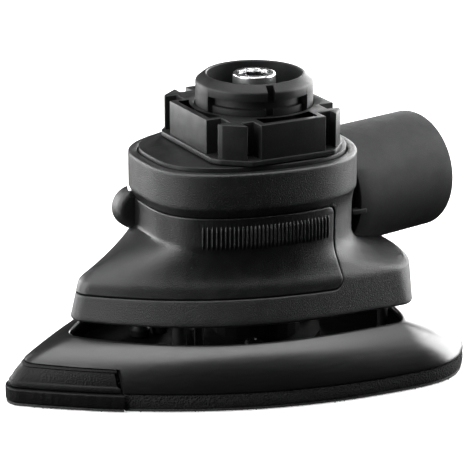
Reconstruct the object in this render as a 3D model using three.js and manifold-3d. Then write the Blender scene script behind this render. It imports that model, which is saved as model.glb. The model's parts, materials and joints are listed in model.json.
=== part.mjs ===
// Detail sander head: a mouse-shaped orbiting pad under a housing that a power handle plugs into.
// Millimetres, +Z up. The origin is on the spindle axis in the plane of the hook face.
// The pad's tip points to -X, its heel to +X, and the side with the longer view is -Y (left).
import * as THREE from 'three';
import { mergeVertices } from 'three/addons/utils/BufferGeometryUtils.js';
import Module from 'manifold-3d';

const wasm = await Module();
wasm.setup();

// ---- driving dimensions -------------------------------------------------------------------------
const GAP = 0.3; // clearance between pieces that lie against each other

// Mouse-shaped outlines. nose and heel: reach from the spindle axis along -X and +X; half: half width;
// wide: X of the widest place; p and q: how full the nose and heel curves are; tip: nose radius;
// blunt: 1 for a pointed nose, less for a squarer one, which has no nose circle below a half.
const BASE = { nose: 88.6, heel: 63.4, half: 49, wide: 32, p: 2.2, q: 2.7, tip: 5, blunt: 1 };
const OPENING = { nose: 66.5, heel: 39.6, half: 38.6, wide: 31, p: 3.1, q: 2.3, tip: 5, blunt: 1 };
const RIM_FOOT = { nose: 66, heel: 43.8, half: 36.8, wide: 34, p: 3, q: 2.6, tip: 5, blunt: 1 };
const CREASE = { nose: 63.5, heel: 46.2, half: 34.2, wide: 32, p: 2.6, q: 2.3, tip: 5, blunt: 1 };
const NECK = { nose: 38.4, heel: 29.1, half: 29.3, wide: 2, p: 1.84, q: 2.5, tip: 1, blunt: 0.333 };
// How fast each measure moves from CREASE to NECK up the skirt: 1 is even, more is hollower.
const SKIRT_BEND = { nose: 1, heel: 4, q: 4, blunt: 0.9, other: 3 };
const BLOCK = { nose: 39.8, heel: 30.5, half: 30.7, wide: 2, p: 1.84, q: 2.5, tip: 1, blunt: 0.333 };

// Heights of the pad stack, from the hook face up.
const HOOK_TOP = 1.2;
const FOAM_TOP = 5.8;
const SHELL_FOOT = 6.1;
const SHELL_SHOULDER = 6.5;
const SHELL_TOP = 19.4;
const SHELL_DOME = { curve: 1.64, share: 0.7 }; // the part of a full rounding that the shell's rise uses
const SHELL_WALL = 2.2;
const BACKING_TOP = 8.4;
const TIP_REAR_X = -57.5; // the detachable tip is everything in front of this plane
const TIP_TOP = 13;
const TIP_PROUD = 1.2; // how far the tip's sanding pad stands out past the holder
const TIP_SCREW_X = -71;

// Heights of the housing.
const RIM_BOTTOM = 24;
const CREASE_Z = 36.5;
const NECK_Z = 48.3;
const COVER_TOP = 57.8;
const COVER_BOTTOM = 32.6;
const COVER_REAR_X = 13.6;
const COVER_CORNER = 3.5; // lower rear corner
const COVER_TOP_CORNER = 2.4;
const COVER_WALL = 1.4;
const HOUSING_WALL = 3.6;
const DECK_BOTTOM = 57;
const PLATE_BOTTOM = 24.6;
const PLATE_TOP = 26.4;
const LUG = { x: -36.7, y: 12.4, z: 53.5, r: 6.75, half: 3.6 }; // round grip lug at the cover's nose

// Heights and radii of the block, the coupling and the collar above it.
const BLOCK_BOTTOM = 58.3;
const BLOCK_BEVEL = 2.6;
const BLOCK_TOP = 72.3;
const POCKET_FLOOR = 70.3;
const COUPLING_INSET = 3.2;
const COUPLING_TOP = 73.6;
const RING_FOOT = 73.9;
const RING_FLANGE_TOP = 75.6;
const RING_TOP = 86.5;
// The ring's plan: its front, rear and side faces, and the slanting faces that join them.
const RING = { front: -23.4, rear: 21.4, side: 26.2, slantX: 14.4, cornerX: 1.6, cornerY: 20.2, sideY: 17.4 };
const SLOT = { x: 13.4, wideX: 4.2, y: 15.6, wideY: 5.4, depth: 5.2 };
const COLLAR_R = 18.6;
const COLLAR_CORE_R = 17.1;
const COLLAR_BORE_R = 15;
const COLLAR_TOP = 96;

// Spindle, eccentric and bearings. The pad's own axis is ECCENTRIC mm off the spindle axis.
const ECCENTRIC = 0.8;
const SHAFT_R = 3.9;
const SOCKET_R = 6.8;
const SOCKET_BORE_R = 4.1;
const PAD_BEARING = { bottom: 10.6, width: 7, inner: 4.1, outer: 11 };
const LOWER_BEARING = { bottom: 36.2, width: 7, inner: 4.1, outer: 11 };
const UPPER_BEARING = { bottom: 62.4, width: 6, inner: 4.1, outer: 9.5 };
const CARRIER_R = 13.6;
const CARRIER_SCREWS = { ring: 18.4, clearR: 1.8, turn: 1 / 6 };
const HUB_SCREWS = { ring: 17.6, clearR: 1.9, turn: 0 };
const FAN = { bottom: 27.4, disc: 1.4, height: 6.2, r: 23, blades: 9 };

// Dust outlet and the hose adaptor that pushes on to it; both lie on a level axis turned from +X.
const OUTLET = { y: -4, z: 53.15, turn: 12, start: 26, end: 67.1 };
const ADAPTOR_R = 19.35;
const ADAPTOR_BORE_R = 16.3;
const SPIGOT_R = 15.8;
const SPIGOT_BORE_R = 13.4;
const SPIGOT_END = 46;

// ---- materials ----------------------------------------------------------------------------------
const plastic = (color, roughness) => new THREE.MeshStandardMaterial({ color, roughness, metalness: 0 });
const metal = (color, roughness) => new THREE.MeshStandardMaterial({ color, roughness, metalness: 1 });
const GRAINY = plastic(0x232425, 0.6);
const SMOOTH = plastic(0x1a1b1c, 0.45);
const GLOSSY = plastic(0x0c0c0d, 0.16);
const COUPLING = plastic(0x202122, 0.42);
const TUBE_GREY = plastic(0x3c3d3e, 0.62);
const TIP_BLACK = plastic(0x0e0e0f, 0.4);
const FOAM = plastic(0x121213, 0.95);
const HOOK = plastic(0x2c2c2d, 1);
const RUBBER = plastic(0x1c1c1c, 0.85);
const INNER = plastic(0x151516, 0.6);
const STEEL = metal(0xc9cacc, 0.25);
const ZINC = metal(0x8d8f92, 0.4);

// ---- geometry helpers ---------------------------------------------------------------------------
const TAU = Math.PI * 2;
const SIDE_STEPS = 17;
const TURNING_WEIGHT = 1.3; // how strongly an outline's points gather where it bends

const mixed = (a, b, t) => a + (b - a) * t;
const range = (count, make) => Array.from({ length: count }, (_, i) => make(i));

/** A point r from the spindle axis, turned by a share of a full turn. */
const polar = (r, turn) => [r * Math.cos(turn * TAU), r * Math.sin(turn * TAU), 0];
const flatPolar = (r, turn) => polar(r, turn).slice(0, 2);
const screwTurns = ({ turn }) => range(3, (i) => turn + i / 3);

/** Point at a place along one side: 0 to 1 is the nose circle, 1 to 2 the front curve, 2 to 3 the heel. */
function sidePath({ nose, heel, half, wide, p, q, tip, blunt }, inset) {
  const noseX = nose - inset;
  const heelX = heel - inset;
  const halfY = half - inset;
  const radius = Math.max(tip - inset, 1);
  const front = (angle) => [
    wide - (wide + noseX) * Math.sin(angle) ** (2 / p), halfY * Math.max(Math.cos(angle), 0) ** (2 * blunt),
  ];
  // The nose circle sits where its nearest point on the side is one radius away.
  const nearest = (cx) => {
    let best = { d: Infinity };
    for (let angle = 0; angle <= Math.PI / 2; angle += 0.005) {
      const [x, y] = front(angle);
      const d = Math.hypot(x - cx, y);
      if (d < best.d) best = { d, angle, turn: Math.atan2(y, x - cx) };
    }
    return best;
  };
  let low = -noseX;
  let high = wide;
  for (let i = 0; blunt > 0.5 && i < 24; i++) {
    const middle = (low + high) / 2;
    if (nearest(middle).d < radius) low = middle;
    else high = middle;
  }
  const touch = blunt > 0.5 ? nearest(high) : { angle: Math.PI / 2, turn: Math.PI };
  return (place) => {
    if (blunt > 0.5 && place < 1) {
      const turn = mixed(Math.PI, touch.turn, place);
      return [high + radius * Math.cos(turn), radius * Math.sin(turn)];
    }
    if (place < 2) return front(touch.angle * (2 - Math.max(place, 1)));
    const angle = (place - 2) * (Math.PI / 2);
    const x = wide + (heelX - wide) * Math.sin(angle) ** (2 / q);
    return [x, halfY * Math.max(Math.cos(angle), 0) ** (2 / q)];
  };
}

/** Places along a side, evenly shared out by its length and by how far it has turned. */
function placesAlong(path) {
  const fine = 150;
  const places = range(fine + 1, (i) => (3 * i) / fine);
  const points = places.map(path);
  const measure = [0];
  let heading = null;
  for (let i = 1; i <= fine; i++) {
    const [dx, dy] = [points[i][0] - points[i - 1][0], points[i][1] - points[i - 1][1]];
    const length = Math.hypot(dx, dy);
    const turn = length > 1e-6 ? Math.atan2(dy, dx) : heading;
    const bend = heading === null || turn === null ? 0 : Math.abs(turn - heading);
    measure.push(measure[i - 1] + length / 100 + TURNING_WEIGHT * bend / Math.PI);
    heading = turn;
  }
  return range(SIDE_STEPS + 1, (k) => {
    const wanted = (measure[fine] * k) / SIDE_STEPS;
    const i = Math.max(1, measure.findIndex((value) => value >= wanted - 1e-9));
    return mixed(places[i - 1], places[i], (wanted - measure[i - 1]) / (measure[i] - measure[i - 1] || 1));
  });
}

/** One side of a mouse outline, nose to heel, as [x, half width] pairs. */
const sideOf = (outline, inset) => placesAlong(sidePath(outline, 0)).map(sidePath(outline, inset));

/** Half width of an outline at x, with no rounding of the nose. */
function halfAt(x, { nose, heel, half, wide, p, q, blunt }) {
  if (x <= wide) return half * (1 - ((wide - x) / (wide + nose)) ** p) ** blunt;
  return half * (1 - ((x - wide) / (heel - wide)) ** q) ** (1 / q);
}

/** A whole outline at height z, counter-clockwise seen from above, nowhere wider than limit. */
function ringAt(z, outline, inset = 0, limit = Infinity) {
  const side = sideOf(outline, inset).map(([x, y]) => [x, Math.min(y, limit)]);
  const left = side.map(([x, y]) => [x, -y, z]);
  const right = side.slice(1, -1).reverse().map(([x, y]) => [x, y, z]);
  left[0][1] = 0;
  left[left.length - 1][1] = 0;
  return [...left, ...right];
}

/** Skin over rings of equal length: a loop closes on itself, otherwise both ends are capped. */
function skin(rings, loop = false) {
  const count = rings[0].length;
  const positions = rings.flat(2);
  const index = [];
  const steps = loop ? rings.length : rings.length - 1;
  for (let k = 0; k < steps; k++) {
    const a = k * count;
    const b = ((k + 1) % rings.length) * count;
    for (let i = 0; i < count; i++) {
      const j = (i + 1) % count;
      index.push(a + i, a + j, b + j, a + i, b + j, b + i);
    }
  }
  if (!loop) {
    const cap = (ring, start, up) => {
      const centre = positions.length / 3;
      const mean = [0, 1, 2].map((axis) => ring.reduce((sum, point) => sum + point[axis], 0) / count);
      positions.push(...mean);
      for (let i = 0; i < count; i++) {
        const j = (i + 1) % count;
        index.push(centre, start + (up ? i : j), start + (up ? j : i));
      }
    };
    cap(rings[0], 0, false);
    cap(rings.at(-1), (rings.length - 1) * count, true);
  }
  const geometry = new THREE.BufferGeometry();
  geometry.setAttribute('position', new THREE.Float32BufferAttribute(positions, 3));
  geometry.setIndex(index);
  return geometry;
}

/** A turned piece from [radius, z] points; a profile off the axis is closed into a ring. */
function turned(points, segments = 32) {
  const onAxis = points[0][0] === 0;
  const closed = onAxis ? points : [...points, points[0]];
  const area = closed.slice(1).reduce((sum, [r, z], i) => sum + closed[i][0] * z - r * closed[i][1], 0);
  const ordered = area > 0 ? closed : [...closed].reverse();
  const profile = ordered.map(([r, z]) => new THREE.Vector2(r, z));
  return new THREE.LatheGeometry(profile, segments).rotateX(Math.PI / 2);
}

const tubeAround = (inner, outer, bottom, top, segments) =>
  turned([[inner, bottom], [outer, bottom], [outer, top], [inner, top]], segments);
const rod = (r, bottom, top, segments) => turned([[0, bottom], [r, bottom], [r, top], [0, top]], segments);

/** A box from its lowest to its highest corner. */
function block([x0, y0, z0], [x1, y1, z1]) {
  return new THREE.BoxGeometry(x1 - x0, y1 - y0, z1 - z0)
    .translate((x0 + x1) / 2, (y0 + y1) / 2, (z0 + z1) / 2);
}

/** A flat outline of [x, y] points pulled up from bottom to top. */
function prism(points, bottom, top) {
  const shape = new THREE.Shape(points.map(([x, y]) => new THREE.Vector2(x, y)));
  const body = new THREE.ExtrudeGeometry(shape, { depth: top - bottom, bevelEnabled: false });
  return body.translate(0, 0, bottom);
}

function toSolid(geometry) {
  const bare = geometry.clone();
  bare.deleteAttribute('normal');
  bare.deleteAttribute('uv');
  const merged = mergeVertices(bare, 1e-4);
  return new wasm.Manifold(new wasm.Mesh({
    numProp: 3,
    vertProperties: new Float32Array(merged.attributes.position.array),
    triVerts: new Uint32Array(merged.index.array),
  }));
}

function toGeometry(solid) {
  const mesh = solid.getMesh();
  const geometry = new THREE.BufferGeometry();
  geometry.setAttribute('position', new THREE.Float32BufferAttribute(mesh.vertProperties, 3));
  geometry.setIndex([...mesh.triVerts]);
  return geometry;
}

/** start, with the geometries in added joined on and then those in removed cut away. */
function carved(start, { added = [], removed = [] }) {
  let solid = toSolid(start);
  for (const piece of added) solid = solid.add(toSolid(piece));
  for (const piece of removed) solid = solid.subtract(toSolid(piece));
  return toGeometry(solid);
}

/** The stretch of a geometry between two planes across X. */
function between(geometry, fromX, toX) {
  const far = 200;
  return toGeometry(toSolid(geometry).intersect(toSolid(block([fromX, -far, -far], [toX, far, far]))));
}

/** Straight holes for a ring of three screws. */
const screwHoles = (screws, bottom, top) =>
  screwTurns(screws).map((turn) => rod(screws.clearR, bottom, top, 8).translate(...polar(screws.ring, turn)));

const sander = new THREE.Group();
sander.name = 'detail_mouse_sander';

function place(name, geometry, material) {
  const mesh = new THREE.Mesh(geometry, material);
  mesh.name = name;
  sander.add(mesh);
}

// ---- pad ----------------------------------------------------------------------------------------
/** The domed shell's surface at a share of its way in, from the shoulder (0) to the opening (1). */
function domeRing(share, inset = 0, drop = 0) {
  const { curve, share: used } = SHELL_DOME;
  const rounding = (t) => (1 - (1 - t) ** curve) ** (1 / curve);
  const outline = {};
  for (const key of Object.keys(BASE)) outline[key] = mixed(BASE[key], OPENING[key], share);
  const z = mixed(SHELL_SHOULDER, SHELL_TOP, rounding(share * used) / rounding(used));
  return ringAt(z - drop, outline, inset);
}

const DOME_SHARES = [0, 0.03, 0.12, 0.3, 0.6, 1];

function padShell() {
  const outer = DOME_SHARES.map((share) => domeRing(share));
  const inner = [1, 0.6, 0.3, 0.12].map((share) =>
    domeRing(share, mixed(SHELL_WALL, 0.4, share ** 2), 1.9 * share));
  const tipRoom = block([-100, -60, 0], [TIP_REAR_X, 60, TIP_TOP + GAP]);
  const foot = ringAt(SHELL_FOOT, BASE);
  const innerFoot = ringAt(SHELL_FOOT, BASE, SHELL_WALL);
  return carved(skin([foot, ...outer, ...inner, innerFoot], true), { removed: [tipRoom] });
}

// Rubber posts carry the pad: a thick and a thin one each side in front, one each side behind.
const POSTS = [
  { name: 'front_post', x: -34, y: 14.6, r: 2.2, foot: 3 },
  { name: 'middle_post', x: -27, y: 14.2, r: 1.5, foot: 2.2 },
  { name: 'rear_post', x: 33.5, y: 25, r: 1.7, foot: 3 },
].flatMap((post) => [
  { ...post, name: `${post.name}_left`, y: -post.y },
  { ...post, name: `${post.name}_right` },
]);

/** A flat slab of the pad's outline between two heights and two planes across X. */
function padLayer(bottom, top, inset, fromX, toX) {
  return between(skin([ringAt(bottom, BASE, inset), ringAt(top, BASE, inset)]), fromX, toX);
}

const HUB = {
  bottom: BACKING_TOP + GAP, flange: 2, top: 18, flangeR: 21, r: 14.2, bore: PAD_BEARING.outer + GAP,
};

function padHub() {
  const { bottom, flange, top, flangeR, r, bore } = HUB;
  const body = turned([
    [bore - 1.6, bottom], [flangeR, bottom], [flangeR, bottom + flange], [r, bottom + flange],
    [r, top], [bore, top], [bore, PAD_BEARING.bottom - GAP], [bore - 1.6, PAD_BEARING.bottom - GAP],
  ], 20);
  const holes = screwHoles(HUB_SCREWS, bottom - 1, bottom + flange + 1);
  return carved(body, { removed: holes }).translate(ECCENTRIC, 0, 0);
}

/** A pan-head screw with its head up at z = head and its shank down; turn it over with rotateX. */
function screw(headR, headH, shankR, length) {
  return turned([
    [0, -length], [shankR, -length], [shankR, 0], [headR, 0], [headR, headH * 0.6],
    [headR * 0.7, headH], [headR * 0.4, headH], [headR * 0.3, headH * 0.4], [0, headH * 0.4],
  ], 10);
}

/** The tip holder: the nose of the shell's lower band, with a tongue that plugs into the pad. */
function tipHolder() {
  const dome = skin([ringAt(FOAM_TOP + GAP, BASE, 0.4), ...DOME_SHARES.map((share) => domeRing(share, 0.4))]);
  const whole = carved(dome, { removed: [block([-100, -60, TIP_TOP], [100, 60, 60])] });
  const tongue = block(
    [TIP_REAR_X - 1, -7, BACKING_TOP + GAP], [TIP_REAR_X + 12, 7, BACKING_TOP + 2.2],
  );
  const screwWell = rod(3, TIP_TOP - 1.9, TIP_TOP + 1, 16).translate(TIP_SCREW_X, 0, 0);
  const screwHole = rod(1.7, 0, TIP_TOP, 12).translate(TIP_SCREW_X, 0, 0);
  return carved(between(whole, -100, TIP_REAR_X - GAP), { added: [tongue], removed: [screwWell, screwHole] });
}

place('pad_shell', padShell(), GLOSSY);
place('backing_plate', padLayer(SHELL_FOOT, BACKING_TOP, SHELL_WALL + 2.2, TIP_REAR_X, 100), INNER);
place('foam_pad', padLayer(HOOK_TOP + 0.2, FOAM_TOP, 0, TIP_REAR_X, 100), FOAM);
place('hook_sheet', padLayer(0, HOOK_TOP, 0.3, TIP_REAR_X, 100), HOOK);
place('pad_hub', padHub(), INNER);
screwTurns(HUB_SCREWS).forEach((turn, i) => {
  const [x, y] = polar(HUB_SCREWS.ring, turn);
  const hubScrew = screw(3, 1.8, 1.4, 2.1).translate(x + ECCENTRIC, y, HUB.bottom + HUB.flange + GAP);
  place(`hub_screw_${i + 1}`, hubScrew, ZINC);
});
place('tip_holder', tipHolder(), TIP_BLACK);
place('tip_foam', padLayer(HOOK_TOP + 0.2, FOAM_TOP, -TIP_PROUD, -100, TIP_REAR_X - GAP), TIP_BLACK);
place('tip_hook', padLayer(0, HOOK_TOP, -TIP_PROUD + 0.3, -100, TIP_REAR_X - GAP), HOOK);
place('tip_screw', screw(2.5, 1.4, 1.3, 3).translate(TIP_SCREW_X, 0, TIP_TOP - 1.6), ZINC);

// ---- spindle ------------------------------------------------------------------------------------
/** Inner race, and outer race, of a ball bearing whose balls run in the gap between them. */
function race({ bottom, width, inner, outer }, isInner) {
  const middle = (inner + outer) / 2;
  const [from, to] = isInner ? [inner, middle - 0.4] : [middle + 0.4, outer];
  return tubeAround(from, to, bottom, bottom + width, 16);
}

function driveShaft() {
  const journal = rod(SHAFT_R, PAD_BEARING.bottom, 18.6, 24).translate(ECCENTRIC, 0, 0);
  const shaft = turned([[0, 18.4], [7, 18.4], [7, 20], [SHAFT_R, 20], [SHAFT_R, 83.4], [0, 83.4]], 24);
  const tapping = rod(1.7, 0, 17, 12).translate(ECCENTRIC, 0, 0);
  return carved(shaft, { added: [journal], removed: [tapping] });
}

function driveSocket() {
  const body = turned([
    [0, 84], [SHAFT_R + GAP, 84], [SHAFT_R + GAP, 76], [SOCKET_R - 0.4, 76], [SOCKET_R, 76.4],
    [SOCKET_R, COLLAR_TOP - 0.5], [SOCKET_R - 0.5, COLLAR_TOP], [0, COLLAR_TOP],
  ], 32);
  const lobes = 8;
  const spline = range(lobes * 4, (i) => {
    const turn = i / (lobes * 4);
    return flatPolar(SOCKET_BORE_R + 0.45 * Math.cos(turn * TAU * lobes), turn);
  });
  return carved(body, { removed: [prism(spline, 86, COLLAR_TOP + 1)] });
}

/** Impeller that draws dust up through the pad: a disc with straight raked blades. */
function dustFan() {
  const disc = turned([
    [SHAFT_R + GAP, FAN.bottom], [FAN.r, FAN.bottom], [FAN.r, FAN.bottom + FAN.disc],
    [7, FAN.bottom + FAN.disc], [7, FAN.bottom + FAN.height], [SHAFT_R + GAP, FAN.bottom + FAN.height],
  ], 24);
  const blades = range(FAN.blades, (i) =>
    block([9, -0.6, FAN.bottom + 0.5], [FAN.r - 0.6, 0.6, FAN.bottom + FAN.height])
      .rotateZ(0.5).translate(1.5, -5, 0).rotateZ((i / FAN.blades) * TAU));
  return carved(disc, { added: blades });
}

function counterweight() {
  const ring = tubeAround(SHAFT_R + GAP, 8, 20.4, 26.4, 20);
  const reach = range(9, (i) => flatPolar(14.5, 0.28 + 0.44 * (i / 8)));
  const root = range(5, (i) => flatPolar(6, 0.72 - 0.44 * (i / 4)));
  return carved(ring, { added: [prism([...reach, ...root], 20.4, 26.4)] });
}

place('drive_shaft', driveShaft(), STEEL);
place('drive_socket', driveSocket(), STEEL);
place('dust_fan', dustFan(), INNER);
place('counterweight', counterweight(), ZINC);
place('lower_inner_race', race(LOWER_BEARING, true), STEEL);
place('upper_inner_race', race(UPPER_BEARING, true), STEEL);
place('pad_inner_race', race(PAD_BEARING, true).translate(ECCENTRIC, 0, 0), STEEL);
place('pad_outer_race', race(PAD_BEARING, false).translate(ECCENTRIC, 0, 0), STEEL);
place('shaft_clip', tubeAround(SHAFT_R + GAP, 6, 68.8, 69.8, 16), ZINC);
const padBolt = screw(4.6, 1.3, 1.4, 5.6).rotateX(Math.PI);
place('pad_bolt', padBolt.translate(ECCENTRIC, 0, PAD_BEARING.bottom - GAP), ZINC);

// ---- housing ------------------------------------------------------------------------------------
/**
 * Rings of the housing's outside, grown or shrunk by inset; drop lowers the sloping skirt as well.
 * With slides set, no ring is wider than the cover's inside at its rear edge, so the cover can slide off.
 */
function housingRings(inset = 0, drop = 0, from = RIM_BOTTOM, to = BLOCK_BOTTOM + 1, slides = false) {
  const limitOf = (outline) => (slides ? halfAt(COVER_REAR_X, outline) - COVER_WALL - GAP : Infinity);
  const skirtSteps = 6;
  const skirt = range(skirtSteps + 1, (i) => {
    const t = i / skirtSteps;
    const outline = {};
    for (const key of Object.keys(CREASE)) {
      const bend = SKIRT_BEND[key] ?? SKIRT_BEND.other;
      outline[key] = mixed(CREASE[key], NECK[key], 1 - (1 - t) ** bend);
    }
    return ringAt(mixed(CREASE_Z, NECK_Z, t) - drop, outline, inset, limitOf(outline));
  });
  return [
    ringAt(from, RIM_FOOT, inset),
    ringAt(RIM_BOTTOM + 0.6, RIM_FOOT, inset),
    ringAt(CREASE_Z - 0.6 - drop, { ...CREASE, nose: CREASE.nose + 0.3, half: CREASE.half + 0.4 }, inset),
    ...skirt,
    ringAt(to, NECK, inset, limitOf(NECK)),
  ];
}

/** The cover's side view, pulled across the whole width; grow widens it by a clearance. */
function coverZone(grow) {
  const rear = COVER_REAR_X + grow;
  const low = COVER_BOTTOM - grow;
  const high = COVER_TOP + grow;
  const r = COVER_CORNER + grow;
  const topR = COVER_TOP_CORNER + grow;
  const shape = new THREE.Shape();
  shape.moveTo(-80, low);
  shape.lineTo(rear - r, low);
  shape.absarc(rear - r, low + r, r, -Math.PI / 2, 0);
  shape.absarc(rear - topR, high - topR, topR, 0, Math.PI / 2);
  shape.lineTo(-80, high);
  shape.closePath();
  const zone = new THREE.ExtrudeGeometry(shape, { depth: 120, bevelEnabled: false, curveSegments: 4 });
  return zone.translate(0, 0, -60).rotateX(Math.PI / 2);
}

function roundLug() {
  const { x, y, z, r, half } = LUG;
  const disc = turned([
    [0, -half], [r - 1.6, -half], [r, -half + 1.6], [r, half - 1.6], [r - 1.6, half], [0, half],
  ], 16).rotateX(Math.PI / 2).translate(x, y, z);
  const underBlock = skin([ringAt(COVER_TOP, BLOCK, -GAP), ringAt(80, BLOCK, -GAP)]);
  return carved(disc, { removed: [underBlock] });
}

const housingSolid = (...shape) => skin(housingRings(...shape));

function outletFrame(geometry) {
  const turn = THREE.MathUtils.degToRad(OUTLET.turn);
  return geometry.rotateY(Math.PI / 2).rotateZ(turn).translate(0, OUTLET.y, OUTLET.z);
}

/** The block over the neck: chamfered under its front, with a pocket in its top for the coupling. */
function upperBlock() {
  const outer = skin([
    ringAt(BLOCK_BOTTOM, BLOCK, 1.3), ringAt(BLOCK_BOTTOM + BLOCK_BEVEL, BLOCK), ringAt(BLOCK_TOP - 0.5, BLOCK),
    ringAt(BLOCK_TOP, BLOCK, 0.5), ringAt(BLOCK_TOP, BLOCK, COUPLING_INSET - 0.4),
    ringAt(POCKET_FLOOR, BLOCK, COUPLING_INSET - 0.4),
  ]);
  return toSolid(outer);
}

/** Behind the cover the neck flares into the block without a joint line. */
function neckFlare() {
  const flare = skin([
    ringAt(53.5, NECK), ringAt(56, NECK, -0.2), ringAt(58.1, BLOCK, 0.7), ringAt(BLOCK_BOTTOM + BLOCK_BEVEL, BLOCK),
  ]);
  return toSolid(flare).intersect(toSolid(block([COVER_REAR_X + GAP, -40, 52.5], [40, 40, 62.5])));
}

function mainHousing() {
  const inset = COVER_WALL + GAP;
  const core = housingSolid(inset, 0.6 * inset, 19, 71, true);
  const pocketSkin = toSolid(housingSolid(-2, 0, 20, 70)).subtract(toSolid(core));
  const pocket = pocketSkin.intersect(toSolid(coverZone(GAP)));
  const outside = toSolid(housingSolid()).subtract(pocket).add(upperBlock()).add(neckFlare());
  const cavity = housingSolid(HOUSING_WALL, 0.6 * HOUSING_WALL, 20, DECK_BOTTOM);
  const blockCavity = skin([ringAt(BLOCK_BOTTOM + 1, BLOCK, 4.4), ringAt(POCKET_FLOOR - 2.4, BLOCK, 4.4)]);
  const carrierHole = rod(CARRIER_R + 0.4, 50, 80, 20);
  const duct = outletFrame(rod(9, 20, 50, 16)).translate(0, 0, -3);
  const holes = screwHoles(CARRIER_SCREWS, DECK_BOTTOM - 1, BLOCK_BOTTOM + 0.2);
  return carved(toGeometry(outside), { removed: [cavity, blockCavity, carrierHole, duct, ...holes] });
}

function frontCover() {
  const inside = toSolid(housingSolid(COVER_WALL, 0.6 * COVER_WALL, 10, 80));
  const panel = toSolid(housingSolid()).intersect(toSolid(coverZone(0)));
  return toGeometry(panel.add(toSolid(roundLug())).subtract(inside));
}

function bottomPlate() {
  const inset = HOUSING_WALL + 0.9;
  const sheet = skin([ringAt(PLATE_BOTTOM, RIM_FOOT, inset), ringAt(PLATE_TOP, RIM_FOOT, inset)]);
  return carved(sheet, { removed: [rod(16.5, 20, 30, 36)] });
}

function bearingCarrier() {
  const lowRace = LOWER_BEARING.outer + GAP;
  const highRace = UPPER_BEARING.outer + GAP;
  const lowTop = LOWER_BEARING.bottom + LOWER_BEARING.width + GAP;
  const body = turned([
    [lowRace, LOWER_BEARING.bottom - 0.8], [CARRIER_R, LOWER_BEARING.bottom - 0.8], [CARRIER_R, 53.6],
    [22, 53.6], [22, DECK_BOTTOM - GAP], [CARRIER_R, DECK_BOTTOM - GAP], [CARRIER_R, POCKET_FLOOR - 0.4],
    [highRace, POCKET_FLOOR - 0.4], [highRace, UPPER_BEARING.bottom - GAP], [7, UPPER_BEARING.bottom - GAP],
    [7, lowTop], [lowRace, lowTop],
  ], 20);
  return carved(body, { removed: screwHoles(CARRIER_SCREWS, 50, 60) });
}

place('main_housing', mainHousing(), GRAINY);
place('front_cover', frontCover(), SMOOTH);
place('bottom_plate', bottomPlate(), INNER);
place('bearing_carrier', bearingCarrier(), ZINC);
place('lower_outer_race', race(LOWER_BEARING, false), STEEL);
place('upper_outer_race', race(UPPER_BEARING, false), STEEL);
screwTurns(CARRIER_SCREWS).forEach((turn, i) => {
  const [x, y] = polar(CARRIER_SCREWS.ring, turn);
  place(`carrier_screw_${i + 1}`, screw(3, 1.8, 1.4, 5).rotateX(Math.PI).translate(x, y, 53.3), ZINC);
});
for (const { name, x, y, r, foot } of POSTS) {
  const post = turned([
    [0, BACKING_TOP + 0.6], [foot, BACKING_TOP + 0.6], [foot, 11.5], [r, 12.5], [r, 22],
    [foot + 0.4, 23], [foot + 0.4, PLATE_BOTTOM - 0.2], [0, PLATE_BOTTOM - 0.2],
  ], 12);
  place(name, post.translate(x, y, 0), RUBBER);
}

// ---- coupling for the power handle --------------------------------------------------------------
/** The ring's plan as a twelve-sided outline, the same on both sides of the X axis. */
function ringPlan(grow = 0) {
  const front = RING.front - grow;
  const rear = RING.rear + grow;
  const side = RING.side + grow;
  const right = [
    [rear, RING.sideY], [rear - RING.cornerX, RING.cornerY], [RING.slantX, side],
    [-RING.slantX, side], [front + RING.cornerX, RING.cornerY], [front, RING.sideY],
  ];
  const left = right.map(([x, y]) => [x, -y]).reverse();
  return [...right, ...left];
}

const slotAt = (x, y, wideX, wideY) =>
  block([x - wideX / 2, y - wideY / 2, RING_FLANGE_TOP], [x + wideX / 2, y + wideY / 2, RING_TOP + 5]);

function castleRing() {
  const body = prism(ringPlan(), RING_FOOT, RING_TOP);
  const flange = prism(ringPlan(0.8), RING_FOOT, RING_FLANGE_TOP);
  const slots = [-1, 1].flatMap((across) => [-1, 1].flatMap((along) => {
    const endX = along < 0 ? RING.front : RING.rear;
    return [
      slotAt(SLOT.x * along, RING.side * across, SLOT.wideX, 2 * SLOT.depth),
      slotAt(endX, SLOT.y * across, 2 * SLOT.depth, SLOT.wideY),
    ];
  }));
  const bore = rod(COLLAR_R + GAP, RING_FOOT - 5, RING_TOP + 5, 36);
  return carved(body, { added: [flange], removed: [...slots, bore] });
}

function bayonetCollar() {
  const core = turned([
    [COLLAR_BORE_R, RING_FOOT], [COLLAR_CORE_R, RING_FOOT], [COLLAR_CORE_R, 88], [16.2, 88.4], [16.2, 90.8],
    [COLLAR_R, 91.2], [COLLAR_R, COLLAR_TOP - 2.1], [COLLAR_BORE_R + 0.8, COLLAR_TOP],
    [COLLAR_BORE_R, COLLAR_TOP - 0.4],
  ], 30);
  // Two lugs, opposite each other, fill the grooved core out to the collar's full radius.
  const lugTurn = 158 / 360;
  const lugHalf = 34 / 360;
  const lugs = [0, 0.5].map((opposite) => {
    const turn = lugTurn + opposite;
    const steps = 6;
    const arc = (r, from, to) => range(steps + 1, (i) => flatPolar(r, mixed(from, to, i / steps)));
    const outer = arc(COLLAR_R, turn - lugHalf, turn + lugHalf);
    const inner = arc(COLLAR_BORE_R + 0.7, turn + lugHalf, turn - lugHalf);
    return prism([...outer, ...inner], RING_FOOT, COLLAR_TOP - 4);
  });
  const notches = [0, 0.5].map((opposite) =>
    block([16.2, -1.2, 86], [22, 1.2, 100]).rotateZ((259 / 360 + opposite) * TAU));
  return carved(core, { added: lugs, removed: notches });
}

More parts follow.
